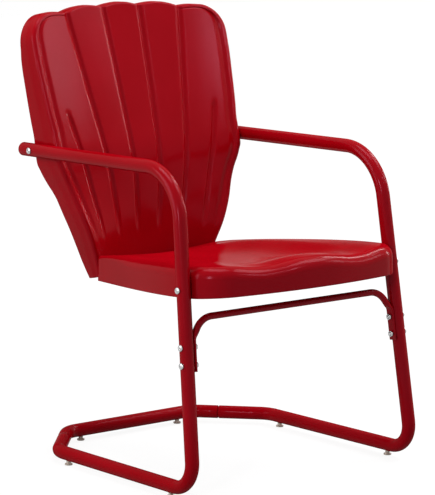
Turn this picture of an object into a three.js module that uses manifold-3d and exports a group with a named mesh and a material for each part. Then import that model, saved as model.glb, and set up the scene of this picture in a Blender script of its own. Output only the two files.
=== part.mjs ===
// Metal spring lawn chair: a bent tube frame, a pressed seat pan and a fluted back shell.
// Millimetres, +Z up. The sitter faces -Y and the sitter's left is +X.
// A setback is a depth behind the corner where the legs turn into the floor runners.

import * as THREE from 'three';
import { mergeVertices } from 'three/addons/utils/BufferGeometryUtils.js';
import Module from 'manifold-3d';

// Clearance between pieces that touch on the real chair
const contactGap = 0.3;

// Frame tube
const tubeDiameter = 26;
const tubeWall = 1.5;
const armSpacing = 480;
const footSpacing = 529;
const heelSpacing = 519;
const crossbarSpan = 307;
const legTopSetback = 75.5;
const armRearSetback = 547.5;
const heelSetback = 417;
const crossbarSetback = 536.5;
const armFrontHeight = 590.5;
const armRearHeight = 583.5;
const armBendRadius = 100;
const footBendRadius = 48;
const heelBendRadius = 50;
const chamferJointShare = 0.63;
const tubeSides = 16;
const boreSides = 12;
const bendStepAngle = THREE.MathUtils.degToRad(13);

// Spigots of the rear base tube, which plug into the side frames
const spigotLength = 28;
const spigotClearance = 0.8;
const spigotShoulder = 2;
const jointGroove = 2.5;

// Front brace, a smaller tube with flattened ends
const braceDiameter = 12.7;
const braceWall = 1.2;
const braceBelowCrest = 94;
const braceEndDrop = 94;
const braceBendRadius = 42;
const braceFlatThickness = 3.6;
const braceSides = 10;
const braceRiseShares = [0, 0.08, 0.21, 0.4];
const braceRoundShares = [0, 0.1, 0.6, 1];

// Pressed sheet of the seat and the back
const sheetThickness = 1.4;

// Seat pan: its outline in plan
const seatFrontSetback = -37;
const seatFrontBow = 21;
const seatFrontRun = 180;
const seatCornerPullShare = 0.45;
const seatLegLead = 7.5;
const seatLegLanding = 22;
const seatBarrelSetback = 150;
const seatBarrelHalfWidth = 184;
const seatTaperSetback = 318;
const seatRearHalfWidth = 151.5;
const seatRearSetback = 428;
const seatRearRun = 126;

// Seat pan: its heights
const seatRimRadius = 15;
const seatCrestHeight = 421;
const seatRakeShare = 0.037;
const seatRakeRadius = 4190;
const seatSkirtDepth = 55;
const hemRakeShare = 0.0745;
const seatMiddleSetback = 205;
const seatDishDepth = 16;
const thighScoopDepth = 9;
const thighScoopSpan = 190;
const pommelRise = 3;
const pommelHalfWidth = 95;
const scoopLength = 210;
const rearDip = 12;
const rearDipLength = 170;
const seatRingShares = [0.35, 0.64, 0.86, 1];
const seatRimTurnShares = [0.33, 0.67, 1];

// Back shell: the curve of its face, with rises above its bottom edge
const backBelowCrest = 82;
const backLowerSetback = 471;
const backBendRise = 151;
const backBendRadius = 390;
const backRecline = THREE.MathUtils.degToRad(16.2);
const backUpperRadius = 1020;
const backLowerRadius = 385;
const backTightRise = 61;
const backWideRise = 191;

// Back shell: its outline. Its levels are 0 at the bottom, 1 at the arms and 2 at the top.
const backBottomDrop = 8;
const backTopHeight = 845.8;
const backTopRadius = 1344;
const backCornerRadius = 56;
const backOutlineLevelShares = [
  0, 0.086, 0.188, 0.331, 0.408, 0.531, 0.657, 0.718, 0.78, 0.841, 0.894, 0.943, 1.107, 1.252, 1.443, 1.672, 2,
];
const backOutlineWidthShares = [
  0.598, 0.631, 0.671, 0.736, 0.77, 0.823, 0.87, 0.897, 0.926, 0.959, 0.982, 1, 1, 1.017, 1.034, 1.049, 1.051,
];

// Back shell: the skirt round its edge, with its depths as shares of the deepest
const backRimRadius = 5;
const backFlare = 4.5;
const pressAngle = THREE.MathUtils.degToRad(10);
const skirtDepth = 69;
const skirtLevelShares = [
  0, 0.086, 0.188, 0.331, 0.408, 0.657, 0.718, 0.78, 0.894, 0.976, 1.061, 1.252, 1.443, 1.672, 1.768, 2,
];
const skirtDepthShares = [
  0.483, 0.587, 0.688, 0.761, 0.775, 0.783, 0.817, 0.891, 0.964, 1, 0.964, 0.878, 0.803, 0.71, 0.652, 0.599,
];
const skirtFlareShare = 0.4;

// Back shell: its flutes. A groove's distance from the middle is a share of the half width at the arms.
const grooveFootRise = 62;
const grooveLowRise = 100;
const grooveFade = 24;
const grooveDepth = 4.5;
const grooveHalfWidth = 4.5;
const shortGrooveDrop = 188;
const lobeCrown = 1.2;
const scallopRise = 5;
const edgeLobeMin = 20;
const innerGroove = { lowShare: 0.106, highShare: 0.212 };
const outerGroove = { lowShare: 0.347, highShare: 0.653 };
const shortGroove = { lowShare: 0.574, highShare: 1.013 };

// Back shell: the channel that runs inside the rim of the two outer lobes
const channelDepth = 3;
const channelSpan = 14;
const channelWallShare = 0.35;
const backRowShares = [
  0, 0.04, 0.09, 0.14, 0.2, 0.26, 0.31, 0.36, 0.4, 0.44, 0.49, 0.55, 0.61, 0.67, 0.73,
  0.79, 0.85, 0.9, 0.935, 0.958, 0.975, 0.99, 1,
];

// Bolts and nuts
const boltDiameter = 6;
const boltHoleClearance = 0.4;
const headDiameter = 12;
const headHeight = 3.6;
const headRadiusShares = [0.5, 0.82, 1];
const headHeightShares = [0.95, 0.66, 0.2];
const nutWidth = 10;
const nutHeight = 5;
const boltTail = 2;
const boltSides = 8;
const drillOverrun = 4;
const armBoltSetback = 513;
const seatBoltDrop = 42;
const braceBoltDrops = { upper: 49.5, lower: 81.5 };
const backBoltSpread = 82;
const backBoltDrop = 78;

// Caps in the rear ends of the arms
const capDomeHeight = 5;
const capStemLength = 18;
const capStemClearance = 0.8;
const capDomeSteps = 3;

// Floor glides under the base
const glideLift = 8;
const glideDiameter = 15;
const glideDiscHeight = 3.2;
const glideEdge = 0.9;
const glideStemDiameter = 8.5;
const glideStemGrip = 3;
const glideFrontSetback = 67;
const glideRearLead = 34;
const glideCrossbarHalf = 120;

const tubeRadius = tubeDiameter / 2;
const boreRadius = tubeRadius - tubeWall;
const runnerHeight = glideLift + tubeRadius;
const braceHeight = seatCrestHeight - braceBelowCrest;
const braceEndHeight = braceHeight - braceEndDrop;
const seatHemHeight = seatCrestHeight - seatSkirtDepth;
const backBottomHeight = seatCrestHeight - backBelowCrest;
const seatBoltHeight = seatCrestHeight - seatBoltDrop;
const glideRearSetback = heelSetback - glideRearLead;
const sideNames = { right: -1, left: 1 };

const redPaint = { color: 0x9a0f1c, roughness: 0.32, metalness: 0.1 };
const redPlastic = { color: 0x9a0f1c, roughness: 0.4, metalness: 0 };
const zincPlate = { color: 0xc9cbcc, roughness: 0.3, metalness: 0.95 };
const glidePlastic = { color: 0xb9a99c, roughness: 0.5, metalness: 0 };

const manifold = await Module();
manifold.setup();

const { lerp, clamp, smoothstep } = THREE.MathUtils;

// Straight-line reading of a table
function lookUp(x, xs, ys) {
  const next = clamp(xs.findIndex((value) => value > x), 1, xs.length - 1);
  const share = x >= xs[xs.length - 1] ? 1 : clamp((x - xs[next - 1]) / (xs[next] - xs[next - 1]), 0, 1);
  return x >= xs[xs.length - 1] ? ys[ys.length - 1] : lerp(ys[next - 1], ys[next], share);
}

// Corners of a regular polygon, the first one a share of a side past the x axis
function circle(radius, count, turnShare = 0.5) {
  return Array.from({ length: count }, (_, i) => {
    const angle = (2 * Math.PI * (i + turnShare)) / count;
    return new THREE.Vector2(radius * Math.cos(angle), radius * Math.sin(angle));
  });
}

// A closed solid with its faces pointing out
function closedSolid(positions, index) {
  let volume = 0;
  const corner = (i) => new THREE.Vector3().fromArray(positions, 3 * i);
  for (let i = 0; i < index.length; i += 3) {
    volume += corner(index[i]).dot(corner(index[i + 1]).cross(corner(index[i + 2])));
  }
  const geometry = new THREE.BufferGeometry();
  geometry.setAttribute('position', new THREE.Float32BufferAttribute(positions, 3));
  geometry.setIndex(volume < 0 ? [...index].reverse() : [...index]);
  return geometry;
}

// The same solid with its shared points merged and its flat triangles dropped
function merged(geometry) {
  const bare = geometry.clone();
  bare.deleteAttribute('normal');
  bare.deleteAttribute('uv');
  const joined = mergeVertices(bare);
  const index = [];
  for (let i = 0; i < joined.index.count; i += 3) {
    const [a, b, c] = joined.index.array.slice(i, i + 3);
    if (a !== b && b !== c && c !== a) {
      index.push(a, b, c);
    }
  }
  return closedSolid([...joined.attributes.position.array], index);
}

function toManifold(geometry) {
  const solid = merged(geometry);
  return new manifold.Manifold(new manifold.Mesh({
    numProp: 3,
    vertProperties: new Float32Array(solid.attributes.position.array),
    triVerts: new Uint32Array(solid.index.array),
  }));
}

function drill(geometry, cutters) {
  let solid = toManifold(geometry);
  for (const cutter of cutters) {
    solid = solid.subtract(toManifold(cutter));
  }
  const mesh = solid.getMesh();
  return closedSolid([...mesh.vertProperties], [...mesh.triVerts]);
}

// The turn that takes a shape drawn along its own Y to a direction
function turnTo(direction) {
  return new THREE.Quaternion().setFromUnitVectors(new THREE.Vector3(0, 1, 0), direction);
}

function bar(from, to, radius) {
  const along = new THREE.Vector3().subVectors(to, from);
  const geometry = new THREE.CylinderGeometry(radius, radius, along.length(), boltSides);
  const middle = new THREE.Vector3().addVectors(from, to).multiplyScalar(0.5);
  geometry.applyQuaternion(turnTo(along.normalize()));
  geometry.translate(middle.x, middle.y, middle.z);
  return geometry;
}

// Stations along straight runs and round bends through the given corners
function bentRoute(corners, radii) {
  const last = corners.length - 1;
  const heading = (i) => new THREE.Vector3().subVectors(corners[i + 1], corners[i]).normalize();
  const stations = [{ point: corners[0].clone(), tangent: heading(0) }];
  for (let i = 1; i < last; i += 1) {
    const radius = radii[i - 1];
    const before = heading(i - 1);
    const after = heading(i);
    const turn = before.angleTo(after);
    const start = corners[i].clone().addScaledVector(before, -radius * Math.tan(turn / 2));
    const inward = after.clone().addScaledVector(before, -Math.cos(turn)).normalize();
    const steps = Math.ceil(turn / bendStepAngle);
    for (let k = 0; k <= steps; k += 1) {
      const angle = (turn * k) / steps;
      const point = start.clone()
        .addScaledVector(inward, radius * (1 - Math.cos(angle)))
        .addScaledVector(before, radius * Math.sin(angle));
      const tangent = before.clone().multiplyScalar(Math.cos(angle))
        .addScaledVector(inward, Math.sin(angle));
      stations.push({ point, tangent });
    }
  }
  stations.push({ point: corners[last].clone(), tangent: heading(last - 1) });
  return stations;
}

// A curve that an extrusion follows with one ring at each station
class StationCurve extends THREE.Curve {
  constructor(stations) {
    super();
    this.stations = stations;
  }

  stationAt(u) {
    return this.stations[Math.round(u * (this.stations.length - 1))];
  }

  getPointAt(u, target = new THREE.Vector3()) {
    return target.copy(this.stationAt(u).point);
  }

  getTangentAt(u, target = new THREE.Vector3()) {
    return target.copy(this.stationAt(u).tangent);
  }
}

function sweptTube(stations) {
  const section = new THREE.Shape(circle(tubeRadius, tubeSides, 0));
  section.holes.push(new THREE.Path(circle(boreRadius, boreSides, 0)));
  return new THREE.ExtrudeGeometry(section, {
    steps: stations.length - 1,
    extrudePath: new StationCurve(stations),
    bevelEnabled: false,
  });
}

// A hollow tube on a flat route whose section has its own width and thickness at each station
function loftedTube(stations, planeNormal, wall, sides) {
  const loops = [];
  for (const { point, tangent, width, thickness } of stations) {
    const across = new THREE.Vector3().crossVectors(planeNormal, tangent).normalize();
    for (const inset of [0, wall]) {
      const straight = (width - thickness) / 2;
      loops.push(circle(thickness / 2 - inset, sides).map((p) => point.clone()
        .addScaledVector(across, p.y)
        .addScaledVector(planeNormal, p.x + Math.sign(p.x) * straight)));
    }
  }
  const index = [];
  const join = (a, b, reversed) => {
    for (let i = 0; i < sides; i += 1) {
      const next = (i + 1) % sides;
      const corners = [a * sides + i, a * sides + next, b * sides + next, b * sides + i];
      index.push(...quad(...(reversed ? corners.reverse() : corners)));
    }
  };
  const lastLoop = loops.length - 2;
  for (let k = 0; k < lastLoop; k += 2) {
    join(k, k + 2, false);
    join(k + 1, k + 3, true);
  }
  join(0, 1, true);
  join(lastLoop, lastLoop + 1, false);
  return closedSolid(loops.flat().flatMap((p) => p.toArray()), index);
}

// A pressed sheet: its outer skin, an inner skin one thickness behind, and the cut edge between
function pressedSheet(points, index, thickness) {
  const positions = points.flatMap((p) => p.toArray());
  const skin = new THREE.BufferGeometry();
  skin.setAttribute('position', new THREE.Float32BufferAttribute(positions, 3));
  skin.setIndex(index);
  skin.computeVertexNormals();
  const normals = skin.attributes.normal.array;
  const count = points.length;
  const faces = [...index];
  const openEdges = new Map();
  for (let i = 0; i < index.length; i += 3) {
    const [a, b, c] = index.slice(i, i + 3);
    faces.push(c + count, b + count, a + count);
    for (const [p, q] of [[a, b], [b, c], [c, a]]) {
      if (!openEdges.delete(`${q} ${p}`)) {
        openEdges.set(`${p} ${q}`, [p, q]);
      }
    }
  }
  for (const [p, q] of openEdges.values()) {
    faces.push(q, p, p + count, q, p + count, q + count);
  }
  const inner = positions.map((value, i) => value - normals[i] * thickness);
  return closedSolid([...positions, ...inner], faces);
}

// The two triangles between neighbours on two rows of points
function quad(a, b, c, d) {
  return [a, b, c, a, c, d];
}

// Frame

function legPoint(side, height) {
  const share = (height - runnerHeight) / (armFrontHeight - runnerHeight);
  const half = lerp(footSpacing, armSpacing, share) / 2;
  return new THREE.Vector3(side * half, legTopSetback * share, height);
}

// The direction into the chair that is square to the leg
function legInward(side) {
  const along = new THREE.Vector3().subVectors(legPoint(side, armFrontHeight), legPoint(side, runnerHeight));
  along.normalize();
  const inward = new THREE.Vector3(-side, 0, 0);
  return inward.addScaledVector(along, -inward.dot(along)).normalize();
}

function armPoint(side, setback) {
  const share = (setback - legTopSetback) / (armRearSetback - legTopSetback);
  return new THREE.Vector3((side * armSpacing) / 2, setback, lerp(armFrontHeight, armRearHeight, share));
}

function runnerPoint(side, setback) {
  const half = lerp(footSpacing, heelSpacing, setback / crossbarSetback) / 2;
  return new THREE.Vector3(side * half, setback, runnerHeight);
}

function crossbarPoint(side, half) {
  return new THREE.Vector3(side * half, crossbarSetback, runnerHeight);
}

function chamferJoint(side) {
  return runnerPoint(side, heelSetback).lerp(crossbarPoint(side, crossbarSpan / 2), chamferJointShare);
}

function sideFrame(side) {
  const route = bentRoute([
    armPoint(side, armRearSetback),
    armPoint(side, legTopSetback),
    runnerPoint(side, 0),
    runnerPoint(side, heelSetback),
    chamferJoint(side),
  ], [armBendRadius, footBendRadius, heelBendRadius]);
  return drill(sweptTube(route), [
    boltCutter(armBolt(side)),
    boltCutter(seatBolt(side)),
    ...Object.values(braceBoltDrops).map((drop) => boltCutter(braceBolt(side, drop))),
    glideCutter(runnerPoint(side, glideFrontSetback)),
    glideCutter(runnerPoint(side, glideRearSetback)),
  ]);
}

function rearBaseTube() {
  const corner = (side) => crossbarPoint(side, crossbarSpan / 2);
  const towards = (side) => corner(side).sub(chamferJoint(side)).normalize();
  const shoulder = (side) => chamferJoint(side).addScaledVector(towards(side), jointGroove);
  const spigotDiameter = 2 * (boreRadius - spigotClearance);
  const spigot = (side) => [spigotLength, spigotShoulder].map((reach) => ({
    point: shoulder(side).addScaledVector(towards(side), -reach),
    tangent: towards(side).multiplyScalar(-side),
    width: spigotDiameter,
    thickness: spigotDiameter,
  }));
  const bends = bentRoute(
    [shoulder(-1), corner(-1), corner(1), shoulder(1)],
    [heelBendRadius, heelBendRadius],
  ).map((station) => ({ ...station, width: tubeDiameter, thickness: tubeDiameter }));
  const stations = [...spigot(-1), ...bends, ...spigot(1).reverse()];
  const tube = loftedTube(stations, new THREE.Vector3(0, 0, 1), tubeWall, tubeSides);
  return drill(tube, [-1, 1].map((side) => glideCutter(crossbarPoint(side, glideCrossbarHalf))));
}

// A point on the middle line of the brace's flattened ends, which lie along the legs
function braceEndPoint(side, height) {
  const inward = legInward(side);
  const reach = tubeRadius + contactGap + braceFlatThickness / 2;
  return legPoint(side, height - reach * inward.z).addScaledVector(inward, reach);
}

// The outer side of the brace stays flush with the leg while the tube swells from flat to round
function frontBrace() {
  const swell = (braceDiameter - braceFlatThickness) / 2;
  const corners = [
    braceEndPoint(-1, braceEndHeight),
    braceEndPoint(-1, braceHeight + swell),
    braceEndPoint(1, braceHeight + swell),
    braceEndPoint(1, braceEndHeight),
  ];
  const upright = new THREE.Vector3().subVectors(corners[1], corners[0]);
  const planeNormal = new THREE.Vector3(1, 0, 0).cross(upright).normalize();
  const bend = braceBendRadius + swell;
  const route = bentRoute(corners, [bend, bend]);
  const bendFoot = route[1].point.z;
  const stations = route.map(({ point, tangent }) => {
    const rise = (point.z - bendFoot) / (corners[1].z - bendFoot);
    const roundness = lookUp(rise, braceRiseShares, braceRoundShares);
    const thickness = lerp(braceFlatThickness, braceDiameter, roundness);
    // Flattening keeps the tube's girth
    const width = thickness + (Math.PI * (braceDiameter - thickness)) / 2;
    const inside = new THREE.Vector3().crossVectors(tangent, planeNormal).normalize();
    point.addScaledVector(inside, swell * roundness);
    return { point, tangent, width, thickness };
  });
  const cutters = Object.values(sideNames).flatMap((side) => Object.values(braceBoltDrops)
    .map((drop) => boltCutter(braceBolt(side, drop))));
  return drill(loftedTube(stations, planeNormal, braceWall, braceSides), cutters);
}

// Seat pan

function crestLine(y) {
  return seatCrestHeight - seatRakeShare * y - (y * y) / (2 * seatRakeRadius);
}

function hemLine(y) {
  return seatHemHeight - hemRakeShare * y;
}

// The seat's sides start just ahead of the legs that hold them
const seatSideSetback = legPoint(1, seatBoltHeight).y - seatLegLead;

// The skirt stands against the legs and leans as they do
const skirtTopAtLeg = crestLine(seatSideSetback) - seatRimRadius;
const seatHalfWidth = legPoint(1, skirtTopAtLeg).x - tubeRadius - contactGap;
const seatHemFlare = legPoint(1, hemLine(seatSideSetback)).x - legPoint(1, skirtTopAtLeg).x;
const seatRearMiddle = backLowerSetback - 3 * contactGap;

// Half of the outline at the top of the skirt, from the front round the left side to the rear
function seatHalfOutline() {
  const at = (x, y) => new THREE.Vector2(x, y);
  const front = at(0, seatFrontSetback);
  const frontEnd = at(seatFrontRun, seatFrontSetback + seatFrontBow);
  const frontPull = at(seatFrontRun / 2, seatFrontSetback);
  const cornerTip = frontEnd.clone().lerp(frontPull, (seatFrontRun - seatHalfWidth) / (seatFrontRun / 2));
  const sideStart = at(seatHalfWidth, seatSideSetback);
  const landingEnd = at(seatHalfWidth, seatSideSetback + seatLegLanding);
  const sideEnd = at(seatRearHalfWidth, seatRearSetback);
  const rearDepth = (x) => seatRearMiddle - (x * x) / (2 * backLowerRadius);
  const rearStart = at(seatRearRun, rearDepth(seatRearRun));
  const rearCorner = at(seatRearHalfWidth, rearDepth(seatRearHalfWidth));
  const rear = at(0, seatRearMiddle);
  const runs = [
    [new THREE.QuadraticBezierCurve(front, frontPull, frontEnd), 7],
    [new THREE.CubicBezierCurve(
      frontEnd,
      frontEnd.clone().lerp(cornerTip, seatCornerPullShare),
      sideStart.clone().lerp(cornerTip, seatCornerPullShare),
      sideStart,
    ), 6],
    [new THREE.LineCurve(sideStart, landingEnd), 1],
    [new THREE.CubicBezierCurve(
      landingEnd,
      at(seatHalfWidth, seatBarrelSetback),
      at(seatBarrelHalfWidth, seatTaperSetback),
      sideEnd,
    ), 9],
    [new THREE.QuadraticBezierCurve(sideEnd, rearCorner, rearStart), 3],
    [new THREE.QuadraticBezierCurve(rearStart, at(seatRearRun / 2, seatRearMiddle), rear), 6],
  ];
  return [...runs.flatMap(([curve, count]) => curve.getPoints(count).slice(0, -1)), rear];
}

// Height of the seat's top: a raked dish with two thigh scoops and a pommel at the front
function seatTopHeight(x, y, share) {
  const dish = seatDishDepth * (1 - share ** 3) ** 2;
  const scoopPhase = clamp(Math.abs(x) / thighScoopSpan, 0, 1);
  const scoop = thighScoopDepth * Math.sin(Math.PI * scoopPhase) ** 2;
  const pommelPhase = clamp(Math.abs(x) / pommelHalfWidth, 0, 1);
  const pommel = pommelRise * Math.cos((Math.PI * pommelPhase) / 2) ** 2;
  const nearFront = 1 - smoothstep(y, 0, scoopLength);
  const nearRear = smoothstep(y, seatRearMiddle - rearDipLength, seatRearMiddle);
  const dip = rearDip * nearRear * clamp(1 - (x / seatRearHalfWidth) ** 2, 0, 1);
  return crestLine(y) - dish + nearFront * (pommel - scoop) - dip;
}

function seatPan() {
  const half = seatHalfOutline();
  const mirrored = half.slice(1, -1).reverse().map((p) => new THREE.Vector2(-p.x, p.y));
  const outline = [...half, ...mirrored];
  const count = outline.length;
  const outward = outline.map((_, i) => {
    const before = outline[(i + count - 1) % count];
    const after = outline[(i + 1) % count];
    return new THREE.Vector2(after.y - before.y, before.x - after.x).normalize();
  });
  const points = [new THREE.Vector3(0, seatMiddleSetback, seatTopHeight(0, seatMiddleSetback, 0))];
  const crest = outline.map((p, i) => p.clone().addScaledVector(outward[i], -seatRimRadius));
  for (const share of seatRingShares) {
    for (const p of crest) {
      const x = p.x * share;
      const y = lerp(seatMiddleSetback, p.y, share);
      points.push(new THREE.Vector3(x, y, seatTopHeight(x, y, share)));
    }
  }
  for (const turnShare of seatRimTurnShares) {
    const angle = (turnShare * Math.PI) / 2;
    crest.forEach((p, i) => {
      const q = p.clone().addScaledVector(outward[i], seatRimRadius * Math.sin(angle));
      const top = seatTopHeight(p.x, p.y, 1);
      points.push(new THREE.Vector3(q.x, q.y, top - seatRimRadius * (1 - Math.cos(angle))));
    });
  }
  outline.forEach((p, i) => {
    const q = p.clone().addScaledVector(outward[i], seatHemFlare * Math.abs(outward[i].x));
    points.push(new THREE.Vector3(q.x, q.y, hemLine(q.y)));
  });
  const index = [];
  const ringCount = (points.length - 1) / count;
  for (let i = 0; i < count; i += 1) {
    const next = (i + 1) % count;
    index.push(0, 1 + i, 1 + next);
    for (let ring = 0; ring < ringCount - 1; ring += 1) {
      const near = 1 + ring * count;
      const far = near + count;
      index.push(...quad(near + i, far + i, far + next, near + next));
    }
  }
  const cutters = [-1, 1].map((side) => boltCutter(seatBolt(side)));
  return drill(pressedSheet(points, index, sheetThickness), [...cutters, ...backBolts().map(boltCutter)]);
}

// Back shell

// Depth of the face on the middle line: upright at the seat, then bent back to its recline
function backProfile(z) {
  const rise = z - backBottomHeight - backBendRise;
  const bendRise = backBendRadius * Math.sin(backRecline);
  if (rise <= 0) {
    return backLowerSetback;
  }
  if (rise < bendRise) {
    return backLowerSetback + backBendRadius - Math.sqrt(backBendRadius ** 2 - rise ** 2);
  }
  const bendDepth = backBendRadius * (1 - Math.cos(backRecline));
  return backLowerSetback + bendDepth + (rise - bendRise) * Math.tan(backRecline);
}

function backSetback(x, z) {
  const openness = smoothstep(z - backBottomHeight, backTightRise, backWideRise);
  const curvature = lerp(1 / backLowerRadius, 1 / backUpperRadius, openness);
  return backProfile(z) - (x * x * curvature) / 2;
}

// The skirt's flared edge is bolted between the arms
const backArmHeight = armPoint(1, armBoltSetback).z;
const backArmHalfWidth = armSpacing / 2 - tubeRadius - contactGap - backFlare;

function backLevel(z) {
  if (z < backArmHeight) {
    return (z - backBottomHeight) / (backArmHeight - backBottomHeight);
  }
  return 1 + (z - backArmHeight) / (backTopHeight - backArmHeight);
}

function backHalfWidth(z) {
  return backArmHalfWidth * lookUp(backLevel(z), backOutlineLevelShares, backOutlineWidthShares);
}

function grooveX({ lowShare, highShare }, z) {
  const lowHeight = backBottomHeight + grooveLowRise;
  return backArmHalfWidth * lerp(lowShare, highShare, (z - lowHeight) / (backTopHeight - lowHeight));
}

function grooveStrength(groove, z) {
  const foot = smoothstep(z - backBottomHeight, grooveFootRise, grooveFootRise + grooveFade);
  if (groove !== shortGroove) {
    return foot;
  }
  return foot * smoothstep(backTopHeight - z, shortGrooveDrop, shortGrooveDrop + grooveFade);
}

// Top of the face at its side corners, where the rounded corner ends
const faceCornerRadius = backCornerRadius - backRimRadius;
const faceTopHalfWidth = backHalfWidth(backTopHeight) - backCornerRadius;
const faceTopHeight = backTopHeight - faceTopHalfWidth ** 2 / (2 * backTopRadius) + scallopRise - backRimRadius;

function faceHalfWidth(z) {
  const intoCorner = clamp(z - (faceTopHeight - faceCornerRadius), 0, faceCornerRadius);
  const cut = faceCornerRadius - Math.sqrt(faceCornerRadius ** 2 - intoCorner ** 2);
  return backHalfWidth(z) - backRimRadius - cut;
}

// How far a point of the face is from its edge, along the sides, the top and the rounded corner between
function insetFromEdge(x, z) {
  const beyondSide = x - (backHalfWidth(z) - backCornerRadius);
  const beyondTop = z - (faceTopHeight - faceCornerRadius);
  const outside = Math.hypot(Math.max(beyondSide, 0), Math.max(beyondTop, 0));
  return faceCornerRadius - outside - Math.min(Math.max(beyondSide, beyondTop), 0);
}

function channelCut(x, z) {
  const wall = channelSpan * channelWallShare;
  const inset = insetFromEdge(x, z);
  const strength = smoothstep(x, grooveX(outerGroove, z), grooveX(outerGroove, z) + grooveHalfWidth);
  const section = smoothstep(inset, 0, wall) * (1 - smoothstep(inset, channelSpan - wall, channelSpan));
  return channelDepth * strength * section * grooveStrength(outerGroove, z);
}

// One row of the left half of the face: distances from the middle, with the depth of each flute
function faceHalfRow(z) {
  const edge = faceHalfWidth(z);
  const crown = -lobeCrown * grooveStrength(innerGroove, z);
  const row = [{ x: 0, depth: crown }];
  let previous = 0;
  for (const groove of [innerGroove, outerGroove, shortGroove]) {
    const x = Math.min(grooveX(groove, z), edge - edgeLobeMin);
    if (groove !== innerGroove) {
      row.push({ x: (previous + x) / 2, depth: crown });
    }
    row.push({ x: x - grooveHalfWidth, depth: 0 });
    row.push({ x, depth: grooveDepth * grooveStrength(groove, z) });
    row.push({ x: x + grooveHalfWidth, depth: 0 });
    previous = x;
  }
  for (const inset of [channelSpan, channelSpan * (1 - channelWallShare), channelSpan * channelWallShare, 0]) {
    row.push({ x: edge - inset, depth: 0 });
  }
  return row.map(({ x, depth }) => ({ x, depth: depth + channelCut(x, z) }));
}

// Height of the scalloped top above the line of the side corners
function scallop(x) {
  const inner = grooveX(innerGroove, faceTopHeight);
  const outer = grooveX(outerGroove, faceTopHeight);
  const marks = [-inner, inner, outer, 2 * faceTopHalfWidth - outer];
  const lobe = Math.max(marks.findIndex((mark) => mark >= x), 1);
  const phase = (x - marks[lobe - 1]) / (marks[lobe] - marks[lobe - 1]);
  const arch = backTopHeight - (x * x) / (2 * backTopRadius) - backRimRadius;
  return arch + scallopRise * Math.sin(Math.PI * clamp(phase, 0, 1)) - faceTopHeight;
}

function facePoint(x, depth, share) {
  const level = lerp(backBottomHeight, faceTopHeight, share);
  const edge = faceHalfWidth(level);
  const drop = backBottomDrop * (1 - (x / edge) ** 2) * (1 - share) ** 8;
  const z = level + scallop(Math.min(Math.abs(x), faceTopHalfWidth)) * share ** 12 - drop;
  return new THREE.Vector3(x, backSetback(x, z) + depth, z);
}

function backShell() {
  const rows = backRowShares.map((share) => {
    const half = faceHalfRow(lerp(backBottomHeight, faceTopHeight, share));
    const left = half.map(({ x, depth }) => facePoint(x, depth, share));
    const right = half.slice(1).reverse().map(({ x, depth }) => facePoint(-x, depth, share));
    return [...right, ...left];
  });
  const columns = rows[0].length;
  const points = rows.flat();
  const index = [];
  for (let r = 0; r < rows.length - 1; r += 1) {
    for (let c = 0; c < columns - 1; c += 1) {
      const a = r * columns + c;
      index.push(...quad(a, a + 1, a + columns + 1, a + columns));
    }
  }
  const topRow = (rows.length - 1) * columns;
  let border = [
    ...rows.map((_, r) => r * columns),
    ...rows[0].slice(1, -1).map((_, c) => topRow + c + 1),
    ...rows.map((_, r) => topRow + columns - 1 - r * columns),
  ];
  const edge = border.map((i) => points[i]);
  const outward = edge.map((_, i) => {
    const before = edge[Math.max(i - 1, 0)];
    const after = edge[Math.min(i + 1, edge.length - 1)];
    return new THREE.Vector3(before.z - after.z, 0, after.x - before.x).normalize();
  });
  const press = new THREE.Vector3(0, Math.cos(pressAngle), -Math.sin(pressAngle));
  const rings = [
    (p, out) => p.addScaledVector(out, backRimRadius * Math.SQRT1_2)
      .addScaledVector(press, backRimRadius * (1 - Math.SQRT1_2)),
    (p, out) => p.addScaledVector(out, backRimRadius).addScaledVector(press, backRimRadius),
    (p, out, depth) => p.addScaledVector(out, backRimRadius + backFlare)
      .addScaledVector(press, lerp(backRimRadius, depth, skirtFlareShare)),
    (p, out, depth) => p.addScaledVector(out, backRimRadius + backFlare).addScaledVector(press, depth),
  ];
  for (const ring of rings) {
    const next = edge.map((p, i) => {
      const depth = skirtDepth * lookUp(backLevel(p.z), skirtLevelShares, skirtDepthShares);
      return points.push(ring(p.clone(), outward[i], depth)) - 1;
    });
    for (let i = 0; i < edge.length - 1; i += 1) {
      index.push(...quad(border[i], border[i + 1], next[i + 1], next[i]));
    }
    border = next;
  }
  const cutters = [-1, 1].map((side) => boltCutter(armBolt(side)));
  return drill(pressedSheet(points, index, sheetThickness), [...cutters, ...backBolts().map(boltCutter)]);
}

// Fasteners: each has the place under its head, its direction and its grip

function throughTube(axisPoint, inward, clamped) {
  return {
    under: axisPoint.addScaledVector(inward, -tubeRadius - contactGap),
    inward,
    grip: tubeDiameter + clamped + 3 * contactGap,
  };
}

function armBolt(side) {
  return throughTube(armPoint(side, armBoltSetback), new THREE.Vector3(-side, 0, 0), sheetThickness);
}

function seatBolt(side) {
  return throughTube(legPoint(side, seatBoltHeight), legInward(side), sheetThickness);
}

function braceBolt(side, drop) {
  return throughTube(legPoint(side, braceHeight - drop), legInward(side), braceFlatThickness);
}

// From behind, square to the curve of the back, into the rear skirt of the seat
function backBolts() {
  const height = seatCrestHeight - backBoltDrop;
  return [-backBoltSpread, 0, backBoltSpread].map((x) => {
    const inward = new THREE.Vector3(-x / backLowerRadius, -1, 0).normalize();
    const face = new THREE.Vector3(x, backSetback(x, height), height);
    return {
      under: face.addScaledVector(inward, -sheetThickness - contactGap),
      inward,
      grip: 2 * sheetThickness + 5 * contactGap,
    };
  });
}

function boltCutter({ under, inward, grip }) {
  const from = under.clone().addScaledVector(inward, -drillOverrun);
  const to = under.clone().addScaledVector(inward, grip + drillOverrun);
  return bar(from, to, boltDiameter / 2 + boltHoleClearance);
}

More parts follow.
